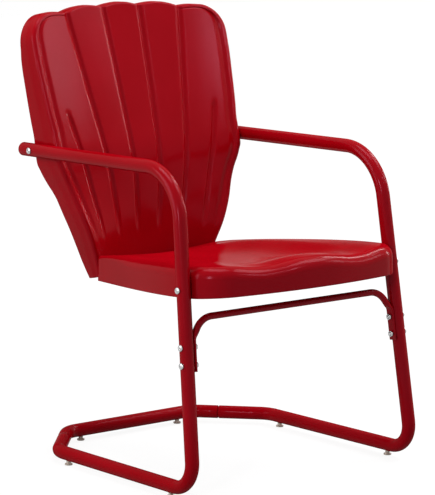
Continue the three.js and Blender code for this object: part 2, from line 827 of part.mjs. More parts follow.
function boltSolid(grip) {
  const radius = boltDiameter / 2;
  const end = grip + nutHeight + boltTail;
  const dome = headRadiusShares.map((share, i) => new THREE.Vector2(
    (headDiameter / 2) * share,
    -headHeight * headHeightShares[i],
  ));
  const profile = [
    new THREE.Vector2(0, -headHeight),
    ...dome,
    new THREE.Vector2(headDiameter / 2, 0),
    new THREE.Vector2(radius, 0),
    new THREE.Vector2(radius, end),
    new THREE.Vector2(0, end),
  ];
  return merged(new THREE.LatheGeometry(profile, boltSides));
}

function nutSolid() {
  const corners = circle(nutWidth / 2 / Math.cos(Math.PI / 6), 6);
  const hexagon = new THREE.Shape(corners);
  hexagon.holes.push(new THREE.Path(circle(boltDiameter / 2 + contactGap, boltSides, 0)));
  const prism = new THREE.ExtrudeGeometry(hexagon, { depth: nutHeight, bevelEnabled: false });
  prism.rotateX(-Math.PI / 2);
  return merged(prism);
}

function armCap() {
  const stem = boreRadius - capStemClearance;
  const profile = [
    new THREE.Vector2(0, -capStemLength),
    new THREE.Vector2(stem, -capStemLength),
    new THREE.Vector2(stem, contactGap),
  ];
  for (let k = 0; k < capDomeSteps; k += 1) {
    const angle = (Math.PI * k) / (2 * capDomeSteps);
    const height = contactGap + capDomeHeight * Math.sin(angle);
    profile.push(new THREE.Vector2(tubeRadius * Math.cos(angle), height));
  }
  profile.push(new THREE.Vector2(0, contactGap + capDomeHeight));
  return merged(new THREE.LatheGeometry(profile, tubeSides));
}

function glideSolid() {
  const radius = glideDiameter / 2;
  const stem = glideStemDiameter / 2;
  const top = glideLift + glideStemGrip;
  const profile = [
    new THREE.Vector2(0, 0),
    new THREE.Vector2(radius - glideEdge, 0),
    new THREE.Vector2(radius, glideEdge),
    new THREE.Vector2(radius, glideDiscHeight - glideEdge),
    new THREE.Vector2(radius - glideEdge, glideDiscHeight),
    new THREE.Vector2(stem, glideDiscHeight),
    new THREE.Vector2(stem, top),
    new THREE.Vector2(0, top),
  ];
  const glide = new THREE.LatheGeometry(profile, boltSides);
  glide.rotateX(Math.PI / 2);
  return merged(glide);
}

function glideCutter(tubePoint) {
  const from = new THREE.Vector3(tubePoint.x, tubePoint.y, 0);
  return bar(from, tubePoint, glideStemDiameter / 2 + boltHoleClearance);
}

// Assembly

const chair = new THREE.Group();

function add(name, geometry, finish) {
  const mesh = new THREE.Mesh(geometry, new THREE.MeshStandardMaterial(finish));
  mesh.name = name;
  chair.add(mesh);
  return mesh;
}

function addFastener(boltName, nutName, { under, inward, grip }) {
  const bolt = add(boltName, boltSolid(grip), zincPlate);
  bolt.position.copy(under);
  bolt.quaternion.copy(turnTo(inward));
  const nut = add(nutName, nutSolid(), zincPlate);
  nut.position.copy(under).addScaledVector(inward, grip);
  nut.quaternion.copy(turnTo(inward));
}

add('rear_base_tube', rearBaseTube(), redPaint);
add('front_brace', frontBrace(), redPaint);
add('seat_pan', seatPan(), redPaint);
add('back_shell', backShell(), redPaint);

for (const [name, side] of Object.entries(sideNames)) {
  add(`side_frame_${name}`, sideFrame(side), redPaint);
  const cap = add(`arm_end_cap_${name}`, armCap(), redPlastic);
  cap.position.copy(armPoint(side, armRearSetback));
  cap.quaternion.copy(turnTo(armPoint(side, armRearSetback).sub(armPoint(side, legTopSetback)).normalize()));
  addFastener(`arm_bolt_${name}`, `arm_nut_${name}`, armBolt(side));
  addFastener(`seat_bolt_${name}`, `seat_nut_${name}`, seatBolt(side));
  for (const [place, drop] of Object.entries(braceBoltDrops)) {
    addFastener(`brace_bolt_${place}_${name}`, `brace_nut_${place}_${name}`, braceBolt(side, drop));
  }
  const feet = {
    front: runnerPoint(side, glideFrontSetback),
    rear: runnerPoint(side, glideRearSetback),
    crossbar: crossbarPoint(side, glideCrossbarHalf),
  };
  for (const [place, foot] of Object.entries(feet)) {
    add(`glide_${place}_${name}`, glideSolid(), glidePlastic).position.set(foot.x, foot.y, 0);
  }
}

['right', 'middle', 'left'].forEach((name, i) => {
  addFastener(`back_bolt_${name}`, `back_nut_${name}`, backBolts()[i]);
});

// The origin is on the floor under the middle of the chair
const middle = new THREE.Box3().setFromObject(chair).getCenter(new THREE.Vector3());
chair.position.set(-middle.x, -middle.y, 0);
chair.updateMatrixWorld(true);

export default chair;
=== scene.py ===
# Metal spring lawn chair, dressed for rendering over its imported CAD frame.
# Sizes are in millimetres in the part's own frame: the sitter faces -Y, and Y starts at the corner
# where the legs turn into the floor runners. Meshes are moved to the row frame, in metres, when made.
# Camera, light and floor are in the row frame from the start.
import math
import bpy
import numpy as np
from mathutils import Matrix, Vector


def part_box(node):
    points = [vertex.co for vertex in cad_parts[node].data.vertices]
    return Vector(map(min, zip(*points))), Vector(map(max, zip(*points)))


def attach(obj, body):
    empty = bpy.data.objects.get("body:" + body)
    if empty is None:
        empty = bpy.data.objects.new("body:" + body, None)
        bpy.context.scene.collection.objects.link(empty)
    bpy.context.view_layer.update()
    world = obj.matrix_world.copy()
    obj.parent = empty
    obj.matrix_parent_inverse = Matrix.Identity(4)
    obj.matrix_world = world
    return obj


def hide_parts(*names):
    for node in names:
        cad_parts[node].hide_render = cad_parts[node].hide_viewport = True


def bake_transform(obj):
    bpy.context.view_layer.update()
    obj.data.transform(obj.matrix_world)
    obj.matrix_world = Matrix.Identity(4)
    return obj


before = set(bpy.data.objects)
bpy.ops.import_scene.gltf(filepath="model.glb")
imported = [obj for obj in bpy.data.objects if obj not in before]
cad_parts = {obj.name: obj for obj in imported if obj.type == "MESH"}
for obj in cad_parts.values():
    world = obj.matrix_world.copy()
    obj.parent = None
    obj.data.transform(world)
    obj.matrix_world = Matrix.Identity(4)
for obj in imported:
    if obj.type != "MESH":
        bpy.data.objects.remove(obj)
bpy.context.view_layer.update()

MM = 0.001

# Camera: the focal length is in pixels of a picture of this height
IMAGE_HEIGHT = 495
FOCAL_LENGTH = 2863.41
SENSOR = 36
CAMERA_PLACE = (-3.3616, -4.1738, 1.2626)
CAMERA_RIGHT = (0.7771, -0.6294, 0.0)
CAMERA_FORWARD = (0.6214, 0.7673, -0.1586)
CAMERA_REACH = 60

# Light and floor: the floor is darker to the chair than to the eye, and brighter far away
LAMP_TARGET = (0, 0, 0.42)
AMBIENT = 0.1
FLOOR_HALF = 9
FLOOR_GREY = 0.3
FLOOR_SEEN_GREY = 0.14
FLOOR_FADE = (0.9, 3.5)
FLOOR_LIFT = (0.9, 1.0)

# Paint: the range of a noise that is used, how near to edge-on its gloss is gone, and the heights over which
# its gloss is turned down towards the floor as painted shade
NOISE_RANGE = (0.3, 0.7)
FACING_RANGE = (0.12, 0.7)
GRAZING_GLOSS = 0.0004
FLOOR_SHADE_HEIGHTS = (0.06, 0.16)

# Frame tube
TUBE_DIAMETER = 26
TUBE_WALL = 1.5
ARM_SPACING = 480
FOOT_SPACING = 529
HEEL_SPACING = 519
CROSSBAR_SPAN = 307
LEG_TOP_SETBACK = 75.5
ARM_REAR_SETBACK = 547.5
HEEL_SETBACK = 417
CROSSBAR_SETBACK = 536.5
ARM_FRONT_HEIGHT = 590.5
ARM_REAR_HEIGHT = 583.5
ARM_BEND_RADIUS = 100
FOOT_BEND_RADIUS = 48
HEEL_BEND_RADIUS = 50
CHAMFER_JOINT_SHARE = 0.63
TUBE_SIDES = 40
BEND_STEP = math.radians(3)
BEND_STEPS_MIN = 4
STRAIGHT_STEP = 14
STRAIGHT_STEPS_MIN = 2
BEND_FLATTENING = 0.05
SIDEWAYS_LIMIT = 0.7
EDGE_ROUND = 0.5
END_ROUND_ANGLES = np.radians([0, 30, 60, 90])

# Spigots of the rear base tube
SPIGOT_LENGTH = 28
SPIGOT_ROOT = 10
SPIGOT_CLEARANCE = 0.8
JOINT_GROOVE = 2.5

# Front brace
BRACE_DIAMETER = 12.7
BRACE_WALL = 1.2
BRACE_HEIGHT = 327
BRACE_BEND_RADIUS = 42
BRACE_FLAT = 3.6
BRACE_END_HEIGHT = 233
BRACE_RISE_SHARES = [0, 0.08, 0.21, 0.4]
BRACE_ROUND_SHARES = [0, 0.1, 0.6, 1]

# Pressed sheet
SHEET = 1.4
CUT_EDGE_ANGLES = np.radians([45, 90, 135])

# Seat pan
SEAT_FRONT_SETBACK = -37
SEAT_FRONT_BOW = 21
SEAT_FRONT_RUN = 180
SEAT_CORNER_PULL_SHARE = 0.45
SEAT_SIDE_SETBACK = 40
SEAT_LEG_LANDING = 22
SEAT_BARREL_SETBACK = 150
SEAT_BARREL_HALF_WIDTH = 184
SEAT_TAPER_SETBACK = 318
SEAT_REAR_HALF_WIDTH = 151.5
SEAT_REAR_SETBACK = 428
SEAT_REAR_RUN = 126
SEAT_RIM_RADIUS = 21
SEAT_REAR_RIM_RADIUS = 7
SEAT_RIM_TIGHTENS = (230, 400)
SEAT_CREST_HEIGHT = 421
SEAT_RAKE_SHARE = 0.037
SEAT_RAKE_RADIUS = 4190
HEM_HEIGHT = 366
HEM_RAKE_SHARE = 0.0745
SEAT_MIDDLE_SETBACK = 205
SEAT_DISH_DEPTH = 16
SEAT_DISH_HALF_WIDTH = 158
SEAT_DISH_HALF_LENGTH = 195
THIGH_SCOOP_DEPTH = 6.5
THIGH_SCOOP_SPAN = 190
THIGH_SCOOP_LEAN = 1.35
POMMEL_RISE = 3
POMMEL_HALF_WIDTH = 95
SCOOP_LENGTH = 210
REAR_DIP = 12
REAR_DIP_LENGTH = 170
SEAT_POINTS = 360
SEAT_INNERMOST_SHARE = 0.02
SEAT_TOP_RINGS = 44
SEAT_RIM_RINGS = 9
SEAT_SKIRT_RINGS = 8

# Back shell
BACK_LOWER_SETBACK = 471
BACK_BEND_HEIGHT = 490
BACK_BEND_RADIUS = 390
BACK_RECLINE = math.radians(16.2)
BACK_UPPER_RADIUS = 1170
BACK_LOWER_RADIUS = 385
BACK_TIGHT_HEIGHT = 400
BACK_WIDE_HEIGHT = 530
BACK_BOTTOM_HEIGHT = 339
BACK_BOTTOM_DROP = 8
BACK_BOTTOM_FALLOFF = 8
BACK_TOP_HEIGHT = 845.8
BACK_TOP_RADIUS = 1344
BACK_CORNER_RADIUS = 56
BACK_LEVELS = [0, 0.086, 0.188, 0.331, 0.408, 0.531, 0.657, 0.718, 0.78, 0.841, 0.894,
               0.943, 1.107, 1.252, 1.443, 1.672, 2]
BACK_WIDTH_SHARES = [0.598, 0.631, 0.671, 0.736, 0.77, 0.823, 0.87, 0.897, 0.926, 0.959, 0.982,
                     1, 1, 1.017, 1.034, 1.049, 1.051]
BACK_RIM_RADIUS = 7
BACK_FLARE = 2
PRESS_ANGLE = math.radians(10)
SKIRT_LEVELS = [0, 0.086, 0.188, 0.331, 0.408, 0.657, 0.718, 0.78, 0.894, 0.976, 1.061, 1.252,
                1.443, 1.672, 1.768, 2]
SKIRT_DEPTH = 68
SKIRT_DEPTH_SHARES = [0.483, 0.587, 0.688, 0.761, 0.775, 0.783, 0.817, 0.891, 0.964, 1, 0.964,
                      0.878, 0.803, 0.7, 0.62, 0.55]
SKIRT_FLARE_SHARE = 0.5
BACK_FLAT_ROWS = 96
BACK_CORNER_ROWS = 34
LOBE_COLUMNS = 14
GROOVE_COLUMNS = 12
EDGE_COLUMNS = 22
BACK_RIM_RINGS = 6
BACK_SKIRT_RINGS = 14

# Flutes of the back: each groove as half the distance to its mirrored twin at two heights
GROOVE_LOW_HEIGHT = 439
GROOVE_HIGH_HEIGHT = 845.8
GROOVE_FOOT_HEIGHT = 401
GROOVE_FADE = 20
GROOVE_FOOT_FADE = 70
GROOVE_DEPTH = 3.9
GROOVE_HALF_WIDTH = 6.5
GROOVE_ROUNDNESS = 1.25
LOBE_CROWN = 0.8
SCALLOP_RISE = 6.8
SCALLOP_FALLOFF = 12
EDGE_LOBE_MIN = 20
SHORT_GROOVE_TOP = 657.8
GROOVES = {"inner": (26.3, 44), "outer": (78.6, 138.6), "short": (127.5, 225.1)}

# Channel between the bead of the rim and the two outer lobes: each as its inset from the face's side
# and top, with the radius of its corner
BEAD_INSETS = (5, 0, 44)
OUTER_LOBE_INSETS = (22, 3.5, 32)
CHANNEL_DEPTH = 3.4
CHANNEL_STEEPNESS = 0.3
CHANNEL_LOWEST_SHARE = 0.3
CHANNEL_WIDTH_MIN = 1e-6

# Fasteners
BOLT_DIAMETER = 6
BOLT_TAIL = 2
BOLT_SIDES = 48
HEAD_DIAMETER = 12
HEAD_HEIGHT = 3.6
HEAD_EDGE_SHARE = 0.22
HEAD_ROUNDNESS = 0.75
HEAD_INNERMOST_SHARE = 0.04
HEAD_RINGS = 26
RECESS_REACH = 3
RECESS_END_SHARE = 0.6
RECESS_HALF_WIDTH = 0.75
RECESS_WALL_START = 1.5
RECESS_DEPTH = 2
BARE_SHANK_SHARE = 0.7
THREAD_PITCH = 1
THREAD_DEPTH = 0.35
THREAD_RINGS = 6
THREAD_LEAD = 0.7
NUT_WIDTH = 10
NUT_HEIGHT = 5
NUT_SIDES = 72
NUT_CHAMFER_START = 0.97
NUT_CHAMFER_ANGLE = math.radians(30)
NUT_BORE_CLEARANCE = 0.02
NUT_LEAD = 0.4
CONTACT_GAP = 0.3
ARM_BOLT_SETBACK = 513
SEAT_BOLT_HEIGHT = 379
BRACE_BOLT_HEIGHTS = {"upper": 277.5, "lower": 245.5}
BACK_BOLT_SPREAD = 82
BACK_BOLT_HEIGHT = 343

# Caps and glides
CAP_DOME_HEIGHT = 5
CAP_DOME_ANGLE = math.radians(86)
CAP_DOME_RINGS = 14
CAP_STEM_LENGTH = 18
CAP_STEM_CLEARANCE = 0.8
CAP_STEM_CHAMFER = 1
GLIDE_LIFT = 8
GLIDE_DIAMETER = 15
GLIDE_DISC_HEIGHT = 3.2
GLIDE_EDGE = 0.9
GLIDE_EDGE_ANGLES = np.radians([-70, -45, -20, 20, 45, 70])
GLIDE_SOLE_INSET = 1.44
GLIDE_STEM_DIAMETER = 8.5
GLIDE_STEM_CHAMFER = 0.8
GLIDE_STEM_GRIP = 3
GLIDE_SIDES = 36
GLIDE_FRONT_SETBACK = 67
GLIDE_REAR_SETBACK = 383
GLIDE_CROSSBAR_HALF = 120

TUBE_RADIUS = TUBE_DIAMETER / 2
BORE_RADIUS = TUBE_RADIUS - TUBE_WALL
RUNNER_HEIGHT = GLIDE_LIFT + TUBE_RADIUS
SIDES = {"right": -1, "left": 1}

# The part's own Y origin, read from a glide whose setback is known
glide_low, glide_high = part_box("glide_front_left")
ORIGIN_Y = (glide_low.y + glide_high.y) / 2 - GLIDE_FRONT_SETBACK * MM


# Node trees

class Graph:
    """The node tree of a material or a world, with short calls to build it."""

    def __init__(self, owner):
        owner.use_nodes = True
        self.owner, self.nodes, self.links = owner, owner.node_tree.nodes, owner.node_tree.links

    def put(self, socket, value):
        """Links a socket to another one, or sets it to a number or a colour."""
        if isinstance(value, bpy.types.NodeSocket):
            self.links.new(value, socket)
        else:
            socket.default_value = value

    def feed(self, node, **inputs):
        for name, value in inputs.items():
            self.put(node.inputs[name.replace("_", " ")], value)
        return node

    def make(self, kind, **inputs):
        return self.feed(self.nodes.new("ShaderNode" + kind), **inputs)

    def compute(self, kind, operation, *values):
        node = self.make(kind)
        node.operation = operation
        for socket, value in zip(node.inputs, values):
            self.put(socket, value)
        return node.outputs["Value"]

    def place(self):
        return self.make("TexCoord").outputs["Object"]

    def noise(self, scale, detail=3, roughness=0.5):
        node = self.make("TexNoise", Vector=self.place(), Scale=scale, Detail=detail, Roughness=roughness)
        return node.outputs["Fac"]

    def map_range(self, value, given, wanted):
        """A value carried from one range to another and held at its ends."""
        node = self.make("MapRange", Value=value, From_Min=given[0], From_Max=given[1],
                         To_Min=wanted[0], To_Max=wanted[1])
        return node.outputs["Result"]

    def spread(self, noise, low, high):
        """A noise stretched to a range."""
        return self.map_range(noise, NOISE_RANGE, (low, high))

    def facing_share(self, straight, grazing):
        """One value where the surface faces the eye, another where it is seen at a shallow angle."""
        return self.map_range(self.make("LayerWeight").outputs["Facing"], FACING_RANGE, (straight, grazing))

    def height_share(self, heights, values):
        """One value below a height over the floor, another above a second height, in metres."""
        height = self.make("SeparateXYZ", Vector=self.place()).outputs["Z"]
        return self.map_range(height, heights, values)

    def blend(self, share, first, second):
        """One colour turned into another by a share."""
        node = self.make("Mix")
        node.data_type = "RGBA"
        return self.feed(node, Factor=share, A=first, B=second).outputs["Result"]

    def bump(self, height, strength, distance, normal=None):
        node = self.make("Bump", Height=height, Strength=strength, Distance=distance)
        if normal is not None:
            self.feed(node, Normal=normal)
        return node.outputs["Normal"]

    def finish(self, **inputs):
        self.feed(self.nodes["Principled BSDF"], **inputs)
        return self.owner

    def finish_apart(self, output, seen, other):
        """One shader for camera, glossy and transmission rays, which see the background, one for the rest."""
        rays = self.make("LightPath").outputs
        sees = self.compute("Math", "MAXIMUM", rays["Is Camera Ray"], rays["Is Glossy Ray"])
        sees = self.compute("Math", "MAXIMUM", sees, rays["Is Transmission Ray"])
        mix = self.make("MixShader", Fac=sees)
        self.put(mix.inputs[1], other)
        self.put(mix.inputs[2], seen)
        self.make(output, Surface=mix.outputs[0])
        return self.owner


# Camera, light and floor

def turn_to(origin, direction):
    """Where a thing goes whose own Z axis has to point in a direction."""
    turn = Vector(direction).to_track_quat("Z", "Y").to_matrix().to_4x4()
    return Matrix.Translation(Vector(origin)) @ turn


def set_camera():
    """The photograph's view: a long lens from the front, to the sitter's right and a little above."""
    camera = bpy.data.objects.new("camera", bpy.data.cameras.new("camera"))
    bpy.context.scene.collection.objects.link(camera)
    bpy.context.scene.camera = camera
    right, forward = Vector(CAMERA_RIGHT), Vector(CAMERA_FORWARD)
    up = right.cross(forward).normalized()
    turn = Matrix((right, up, -forward)).transposed().to_4x4()
    camera.matrix_world = Matrix.Translation(CAMERA_PLACE) @ turn
    camera.data.sensor_width = SENSOR
    camera.data.lens = SENSOR * FOCAL_LENGTH / IMAGE_HEIGHT
    camera.data.clip_end = CAMERA_REACH


def add_softbox(name, place, size, power):
    """A rectangular lamp that shines at the middle of the chair."""
    lamp = bpy.data.lights.new(name, "AREA")
    lamp.shape = "RECTANGLE"
    lamp.size, lamp.size_y = size
    lamp.energy = power
    holder = bpy.data.objects.new(name, lamp)
    bpy.context.scene.collection.objects.link(holder)
    holder.matrix_world = turn_to(place, Vector(place) - Vector(LAMP_TARGET))


def set_world():
    """White to the rays that see the background, and a faint light to all others."""
    graph = Graph(bpy.data.worlds.new("studio"))
    graph.nodes.clear()
    white, soft = (graph.make("Background", Color=(1, 1, 1, 1), Strength=strength).outputs[0]
                   for strength in (1, AMBIENT))
    bpy.context.scene.world = graph.finish_apart("OutputWorld", white, soft)


def floor_material():
    """A floor that is grey to the chair, and lifted to white for the rays that see the background."""
    graph = Graph(bpy.data.materials.new("floor_white"))
    graph.nodes.clear()
    plain, seen = (graph.make("BsdfDiffuse", Color=(grey, grey, grey, 1)).outputs[0]
                   for grey in (FLOOR_GREY, FLOOR_SEEN_GREY))
    away = graph.compute("VectorMath", "LENGTH", graph.place())
    lift = graph.make("Emission", Strength=graph.map_range(away, FLOOR_FADE, FLOOR_LIFT))
    bright = graph.make("AddShader")
    graph.put(bright.inputs[0], seen)
    graph.put(bright.inputs[1], lift.outputs[0])
    return graph.finish_apart("OutputMaterial", bright.outputs[0], plain)


def add_floor():
    mesh = bpy.data.meshes.new("floor")
    corners = [(x * FLOOR_HALF, y * FLOOR_HALF, 0) for x, y in ((-1, -1), (1, -1), (1, 1), (-1, 1))]
    mesh.from_pydata(corners, [], [(0, 1, 2, 3)])
    floor = bpy.data.objects.new("floor", mesh)
    bpy.context.scene.collection.objects.link(floor)
    mesh.materials.append(floor_material())


set_camera()
bpy.context.scene.view_settings.view_transform = "Standard"
set_world()
add_floor()
add_softbox("top_box", (-0.2, -0.05, 3.2), (1.7, 1.2), 46)
add_softbox("key", (1.8, -0.9, 2.9), (1.4, 1.2), 40)
add_softbox("left_box", (-2.9, 0.9, 1.5), (2.0, 2.0), 54)
add_softbox("left_strip", (-2.9, -1.9, 1.3), (0.3, 0.9), 26)
add_softbox("right_box", (2.2, -1.35, 1.73), (0.5, 0.5), 6)
add_softbox("right_strip", (2.5, 0.35, 2.3), (0.4, 1.0), 26)
add_softbox("right_low", (2.9, -0.25, 1.05), (0.3, 0.9), 18)
add_softbox("front_strip", (1.2, -2.4, 2.05), (0.2, 0.5), 5)


# Materials

def red_paint(name, floor_shade_gloss, high_gloss):
    """Glossy powder coat: faint orange peel, cloudy gloss and a slightly thinner coat here and there.
    Its gloss is turned down near the floor as painted shade, which darkens the low tubes."""
    graph = Graph(bpy.data.materials.new(name))
    thinness = graph.spread(graph.noise(9, detail=2), 0, 1)
    # Painted shade: below these heights the gloss is turned down, so the low tubes reflect less of the bright
    # floor and look darker
    gloss = graph.height_share(FLOOR_SHADE_HEIGHTS, (floor_shade_gloss, high_gloss))
    peel = graph.bump(graph.noise(330, detail=1), 0.05, 0.0004)
    return graph.finish(
        Base_Color=graph.blend(thinness, (0.31, 0.0005, 0.0036, 1), (0.34, 0.0010, 0.0054, 1)),
        Roughness=graph.spread(graph.noise(420, detail=2), 0.13, 0.18),
        Specular_IOR_Level=graph.facing_share(gloss, GRAZING_GLOSS),
        Specular_Tint=(1.0, 0.42, 0.62, 1),
        Normal=graph.bump(graph.noise(55, detail=1), 0.08, 0.0010, peel),
    )


def red_plastic():
    """Moulded plastic of the caps, a little duller than the paint."""
    graph = Graph(bpy.data.materials.new("red_plastic"))
    grain = graph.noise(1400, detail=3)
    return graph.finish(
        Base_Color=graph.blend(graph.noise(60), (0.30, 0.003, 0.008, 1), (0.36, 0.006, 0.012, 1)),
        Roughness=graph.spread(grain, 0.34, 0.46),
        Normal=graph.bump(grain, 0.12, 0.0003),
    )


def zinc_plate():
    """Bright zinc plating with fine drawing marks and soft clouding."""
    graph = Graph(bpy.data.materials.new("zinc_plate"))
    cloud = graph.noise(260, detail=3)
    grain = graph.noise(2600, detail=2)
    return graph.finish(
        Base_Color=graph.blend(cloud, (0.26, 0.265, 0.27, 1), (0.62, 0.62, 0.615, 1)),
        Metallic=1.0,
        Roughness=graph.spread(cloud, 0.14, 0.28),
        Normal=graph.bump(grain, 0.1, 0.0002),
    )


def glide_plastic():
    """Pale warm nylon with scuffed patches."""
    graph = Graph(bpy.data.materials.new("glide_plastic"))
    scuff = graph.noise(700, detail=4, roughness=0.7)
    return graph.finish(
        Base_Color=graph.blend(graph.spread(scuff, 0, 1), (0.40, 0.33, 0.27, 1), (0.66, 0.58, 0.50, 1)),
        Roughness=graph.spread(scuff, 0.42, 0.7),
        Normal=graph.bump(scuff, 0.2, 0.0004),
    )


SHEET_PAINT = red_paint("sheet_paint", 0.11, 0.11)
# The tubes' paint loses gloss near the floor: painted shade that darkens the runners
TUBE_PAINT = red_paint("tube_paint", 0.05, 0.13)
CAP_PLASTIC, ZINC, NYLON = red_plastic(), zinc_plate(), glide_plastic()


# Meshes

def unit(v):
    """A vector, or each row of vectors, with length 1."""
    return v / np.linalg.norm(v, axis=-1, keepdims=True)


def full_turn(count):
    return 2 * np.pi * np.arange(count) / count


def parts(count):
    """The ends of equal parts of the way from 0 to 1."""
    return np.linspace(0, 1, count + 1)[1:]


def grid_faces(rows, columns, around=False, along=False):
    """Quads of a grid of points, closed around its rows and along them if asked."""
    r, c = np.meshgrid(np.arange(rows if along else rows - 1),
                       np.arange(columns if around else columns - 1), indexing="ij")
    r, c = r.ravel(), c.ravel()
    r2, c2 = (r + 1) % rows, (c + 1) % columns
    return np.stack([r * columns + c, r * columns + c2, r2 * columns + c2, r2 * columns + c], 1)


def looped_rings(rings):
    """A closed mesh from rings of points, where the last ring meets the first one."""
    return np.vstack(rings), grid_faces(len(rings), len(rings[0]), around=True, along=True)


def closed_rings(rings):
    """A closed mesh from rings of points, with a flat face at both ends."""
    count = len(rings[0])
    points = np.vstack(rings)
    faces = grid_faces(len(rings), count, around=True).tolist()
    faces.append(list(range(count))[::-1])
    faces.append([len(points) - count + i for i in range(count)])
    return points, faces


def outward_faces(points, faces):
    """The faces turned so that a closed mesh has its normals outside."""
    volume = 0.0
    for corners in faces:
        a = points[corners[0]]
        for i in range(1, len(corners) - 1):
            volume += np.dot(a, np.cross(points[corners[i]], points[corners[i + 1]]))
    return [list(reversed(f)) for f in faces] if volume < 0 else faces


def make_piece(name, shape, material, nodes, body="upper", place=None, spring=False):
    """A piece of the chair from points in millimetres. It stands for its CAD nodes and moves with a body,
    or, as the frame's spring, keeps its place baked in and goes with no body."""
    points, faces = shape
    faces = outward_faces(points, [list(map(int, f)) for f in faces])
    if place is not None:
        points = points @ np.array(place.to_3x3().transposed()) + np.array(place.translation)
    mesh = bpy.data.meshes.new(name)
    mesh.from_pydata((points * MM + [0, ORIGIN_Y, 0]).tolist(), [], faces)
    mesh.validate()
    mesh.polygons.foreach_set("use_smooth", [True] * len(mesh.polygons))
    mesh.materials.append(material)
    piece = bpy.data.objects.new(name, mesh)
    bpy.context.scene.collection.objects.link(piece)
    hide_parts(*nodes)
    if spring:
        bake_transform(piece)
    else:
        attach(piece, body)


def vertex_normals(points, faces):
    """Normals at the points of a mesh of quads, larger faces counting more."""
    a, b, c, d = (points[faces[:, i]] for i in range(4))
    face_normal = np.cross(c - a, d - b)
    normals = np.zeros_like(points)
    for i in range(4):
        np.add.at(normals, faces[:, i], face_normal)
    return unit(normals)


def open_edges(faces):
    """The edges that only one face has, each in the direction its face goes round."""
    edges = {}
    for face in faces.tolist():
        for p, q in zip(face, face[1:] + face[:1]):
            if p != q and not edges.pop((q, p), None):
                edges[(p, q)] = True
    return list(edges)


def edge_outward(points, normals, edges):
    """At each point of an open edge the direction that leaves the sheet, and zero everywhere else."""
    outward = np.zeros_like(points)
    for p, q in edges:
        outward[[p, q]] += unit(np.cross(points[q] - points[p], normals[p] + normals[q]))
    length = np.linalg.norm(outward, axis=1, keepdims=True)
    return outward / np.where(length > 0, length, 1)


def drop_doubles(face):
    """A face without the corners that repeat the one before."""
    return [v for i, v in enumerate(face) if v != face[i - 1]]


def pressed_sheet(points, faces, thickness):
    """A sheet from its outer skin: the inner skin lies one thickness behind, and the cut edge is rounded."""
    normals, edges = vertex_normals(points, faces), open_edges(faces)
    outward = edge_outward(points, normals, edges)
    rim = np.flatnonzero(outward.any(axis=1))
    half, count = thickness / 2, len(points)
    outer = points - outward * half
    rings = [outer[rim] - normals[rim] * half * (1 - math.cos(angle)) + outward[rim] * half * math.sin(angle)
             for angle in CUT_EDGE_ANGLES]
    ends = np.array(edges).T
    loops = [ends]
    loops += [2 * count + k * len(rim) + np.searchsorted(rim, ends) for k in range(len(rings))]
    loops.append(ends + count)
    strips = [np.stack([near[1], near[0], far[0], far[1]], 1) for near, far in zip(loops, loops[1:])]
    made = np.vstack([faces, faces[:, ::-1] + count, *strips])
    return np.vstack([outer, outer - normals * thickness, *rings]), [drop_doubles(f) for f in made.tolist()]


def smooth_step(x, low, high):
    t = np.clip((x - low) / (high - low), 0, 1)
    return t * t * (3 - 2 * t)


def smooth_table(x, xs, ys):
    """A table read along a smooth curve that doesn't overshoot its values."""
    x, xs, ys = np.asarray(x, float), np.asarray(xs, float), np.asarray(ys, float)
    step = np.diff(xs)
    slope = np.diff(ys) / step
    tangent = np.concatenate([slope[:1], np.zeros(len(slope) - 1), slope[-1:]])
    same_way = slope[:-1] * slope[1:] > 0
    before, after = slope[:-1][same_way], slope[1:][same_way]
    tangent[1:-1][same_way] = 2 * before * after / (before + after)
    i = np.clip(np.searchsorted(xs, x, side="right") - 1, 0, len(step) - 1)
    t, h = np.clip((x - xs[i]) / step[i], 0, 1), step[i]
    return (ys[i] * (2 * t ** 3 - 3 * t ** 2 + 1) + h * tangent[i] * (t ** 3 - 2 * t ** 2 + t)
            + ys[i + 1] * (3 * t ** 2 - 2 * t ** 3) + h * tangent[i + 1] * (t ** 3 - t ** 2))


# Routes and tubes

def straight_run(start, end):
    """Stations of a straight run, without its end."""
    count = max(STRAIGHT_STEPS_MIN, int(np.linalg.norm(end - start) / STRAIGHT_STEP))
    heading = unit(end - start)
    return [(start + (end - start) * k / count, heading, np.zeros(3), 0.0) for k in range(count)]


def round_bend(corner, before, after, radius):
    """Stations of a bend round a corner, without its end, and the point where it ends."""
    turn = math.acos(np.dot(before, after))
    reach = radius * math.tan(turn / 2)
    inward = unit(after - before * math.cos(turn))
    steps = max(BEND_STEPS_MIN, math.ceil(turn / BEND_STEP))
    stations = []
    for k in range(steps):
        sine, cosine = math.sin(turn * k / steps), math.cos(turn * k / steps)
        point = corner - before * reach + inward * radius * (1 - cosine) + before * radius * sine
        share = math.sqrt(math.sin(math.pi * k / steps))
        stations.append((point, before * cosine + inward * sine, inward * cosine - before * sine, share))
    return stations, corner + after * reach


def bent_route(corners, radii):
    """Stations along runs and bends: point, direction, way into the bend, share of the bend's middle."""
    headings = [unit(end - start) for start, end in zip(corners, corners[1:])]
    stations, at = [], corners[0]
    for corner, before, after, radius in zip(corners[1:], headings, headings[1:], radii):
        bend, bend_end = round_bend(corner, before, after, radius)
        stations += straight_run(at, bend[0][0]) + bend
        at = bend_end
    return stations + straight_run(at, corners[-1]) + [(corners[-1], headings[-1], np.zeros(3), 0.0)]


def carry_across(stations):
    """A direction across the tube for each station, that turns no more than the route does. It starts
    sideways, or upright where the tube itself runs sideways."""
    sideways = abs(stations[0][1][0]) > SIDEWAYS_LIMIT
    across, carried = np.array([0.0, 0.0, 1.0] if sideways else [1.0, 0.0, 0.0]), []
    for _, heading, _, _ in stations:
        across = unit(across - heading * np.dot(across, heading))
        carried.append(across)
    return carried


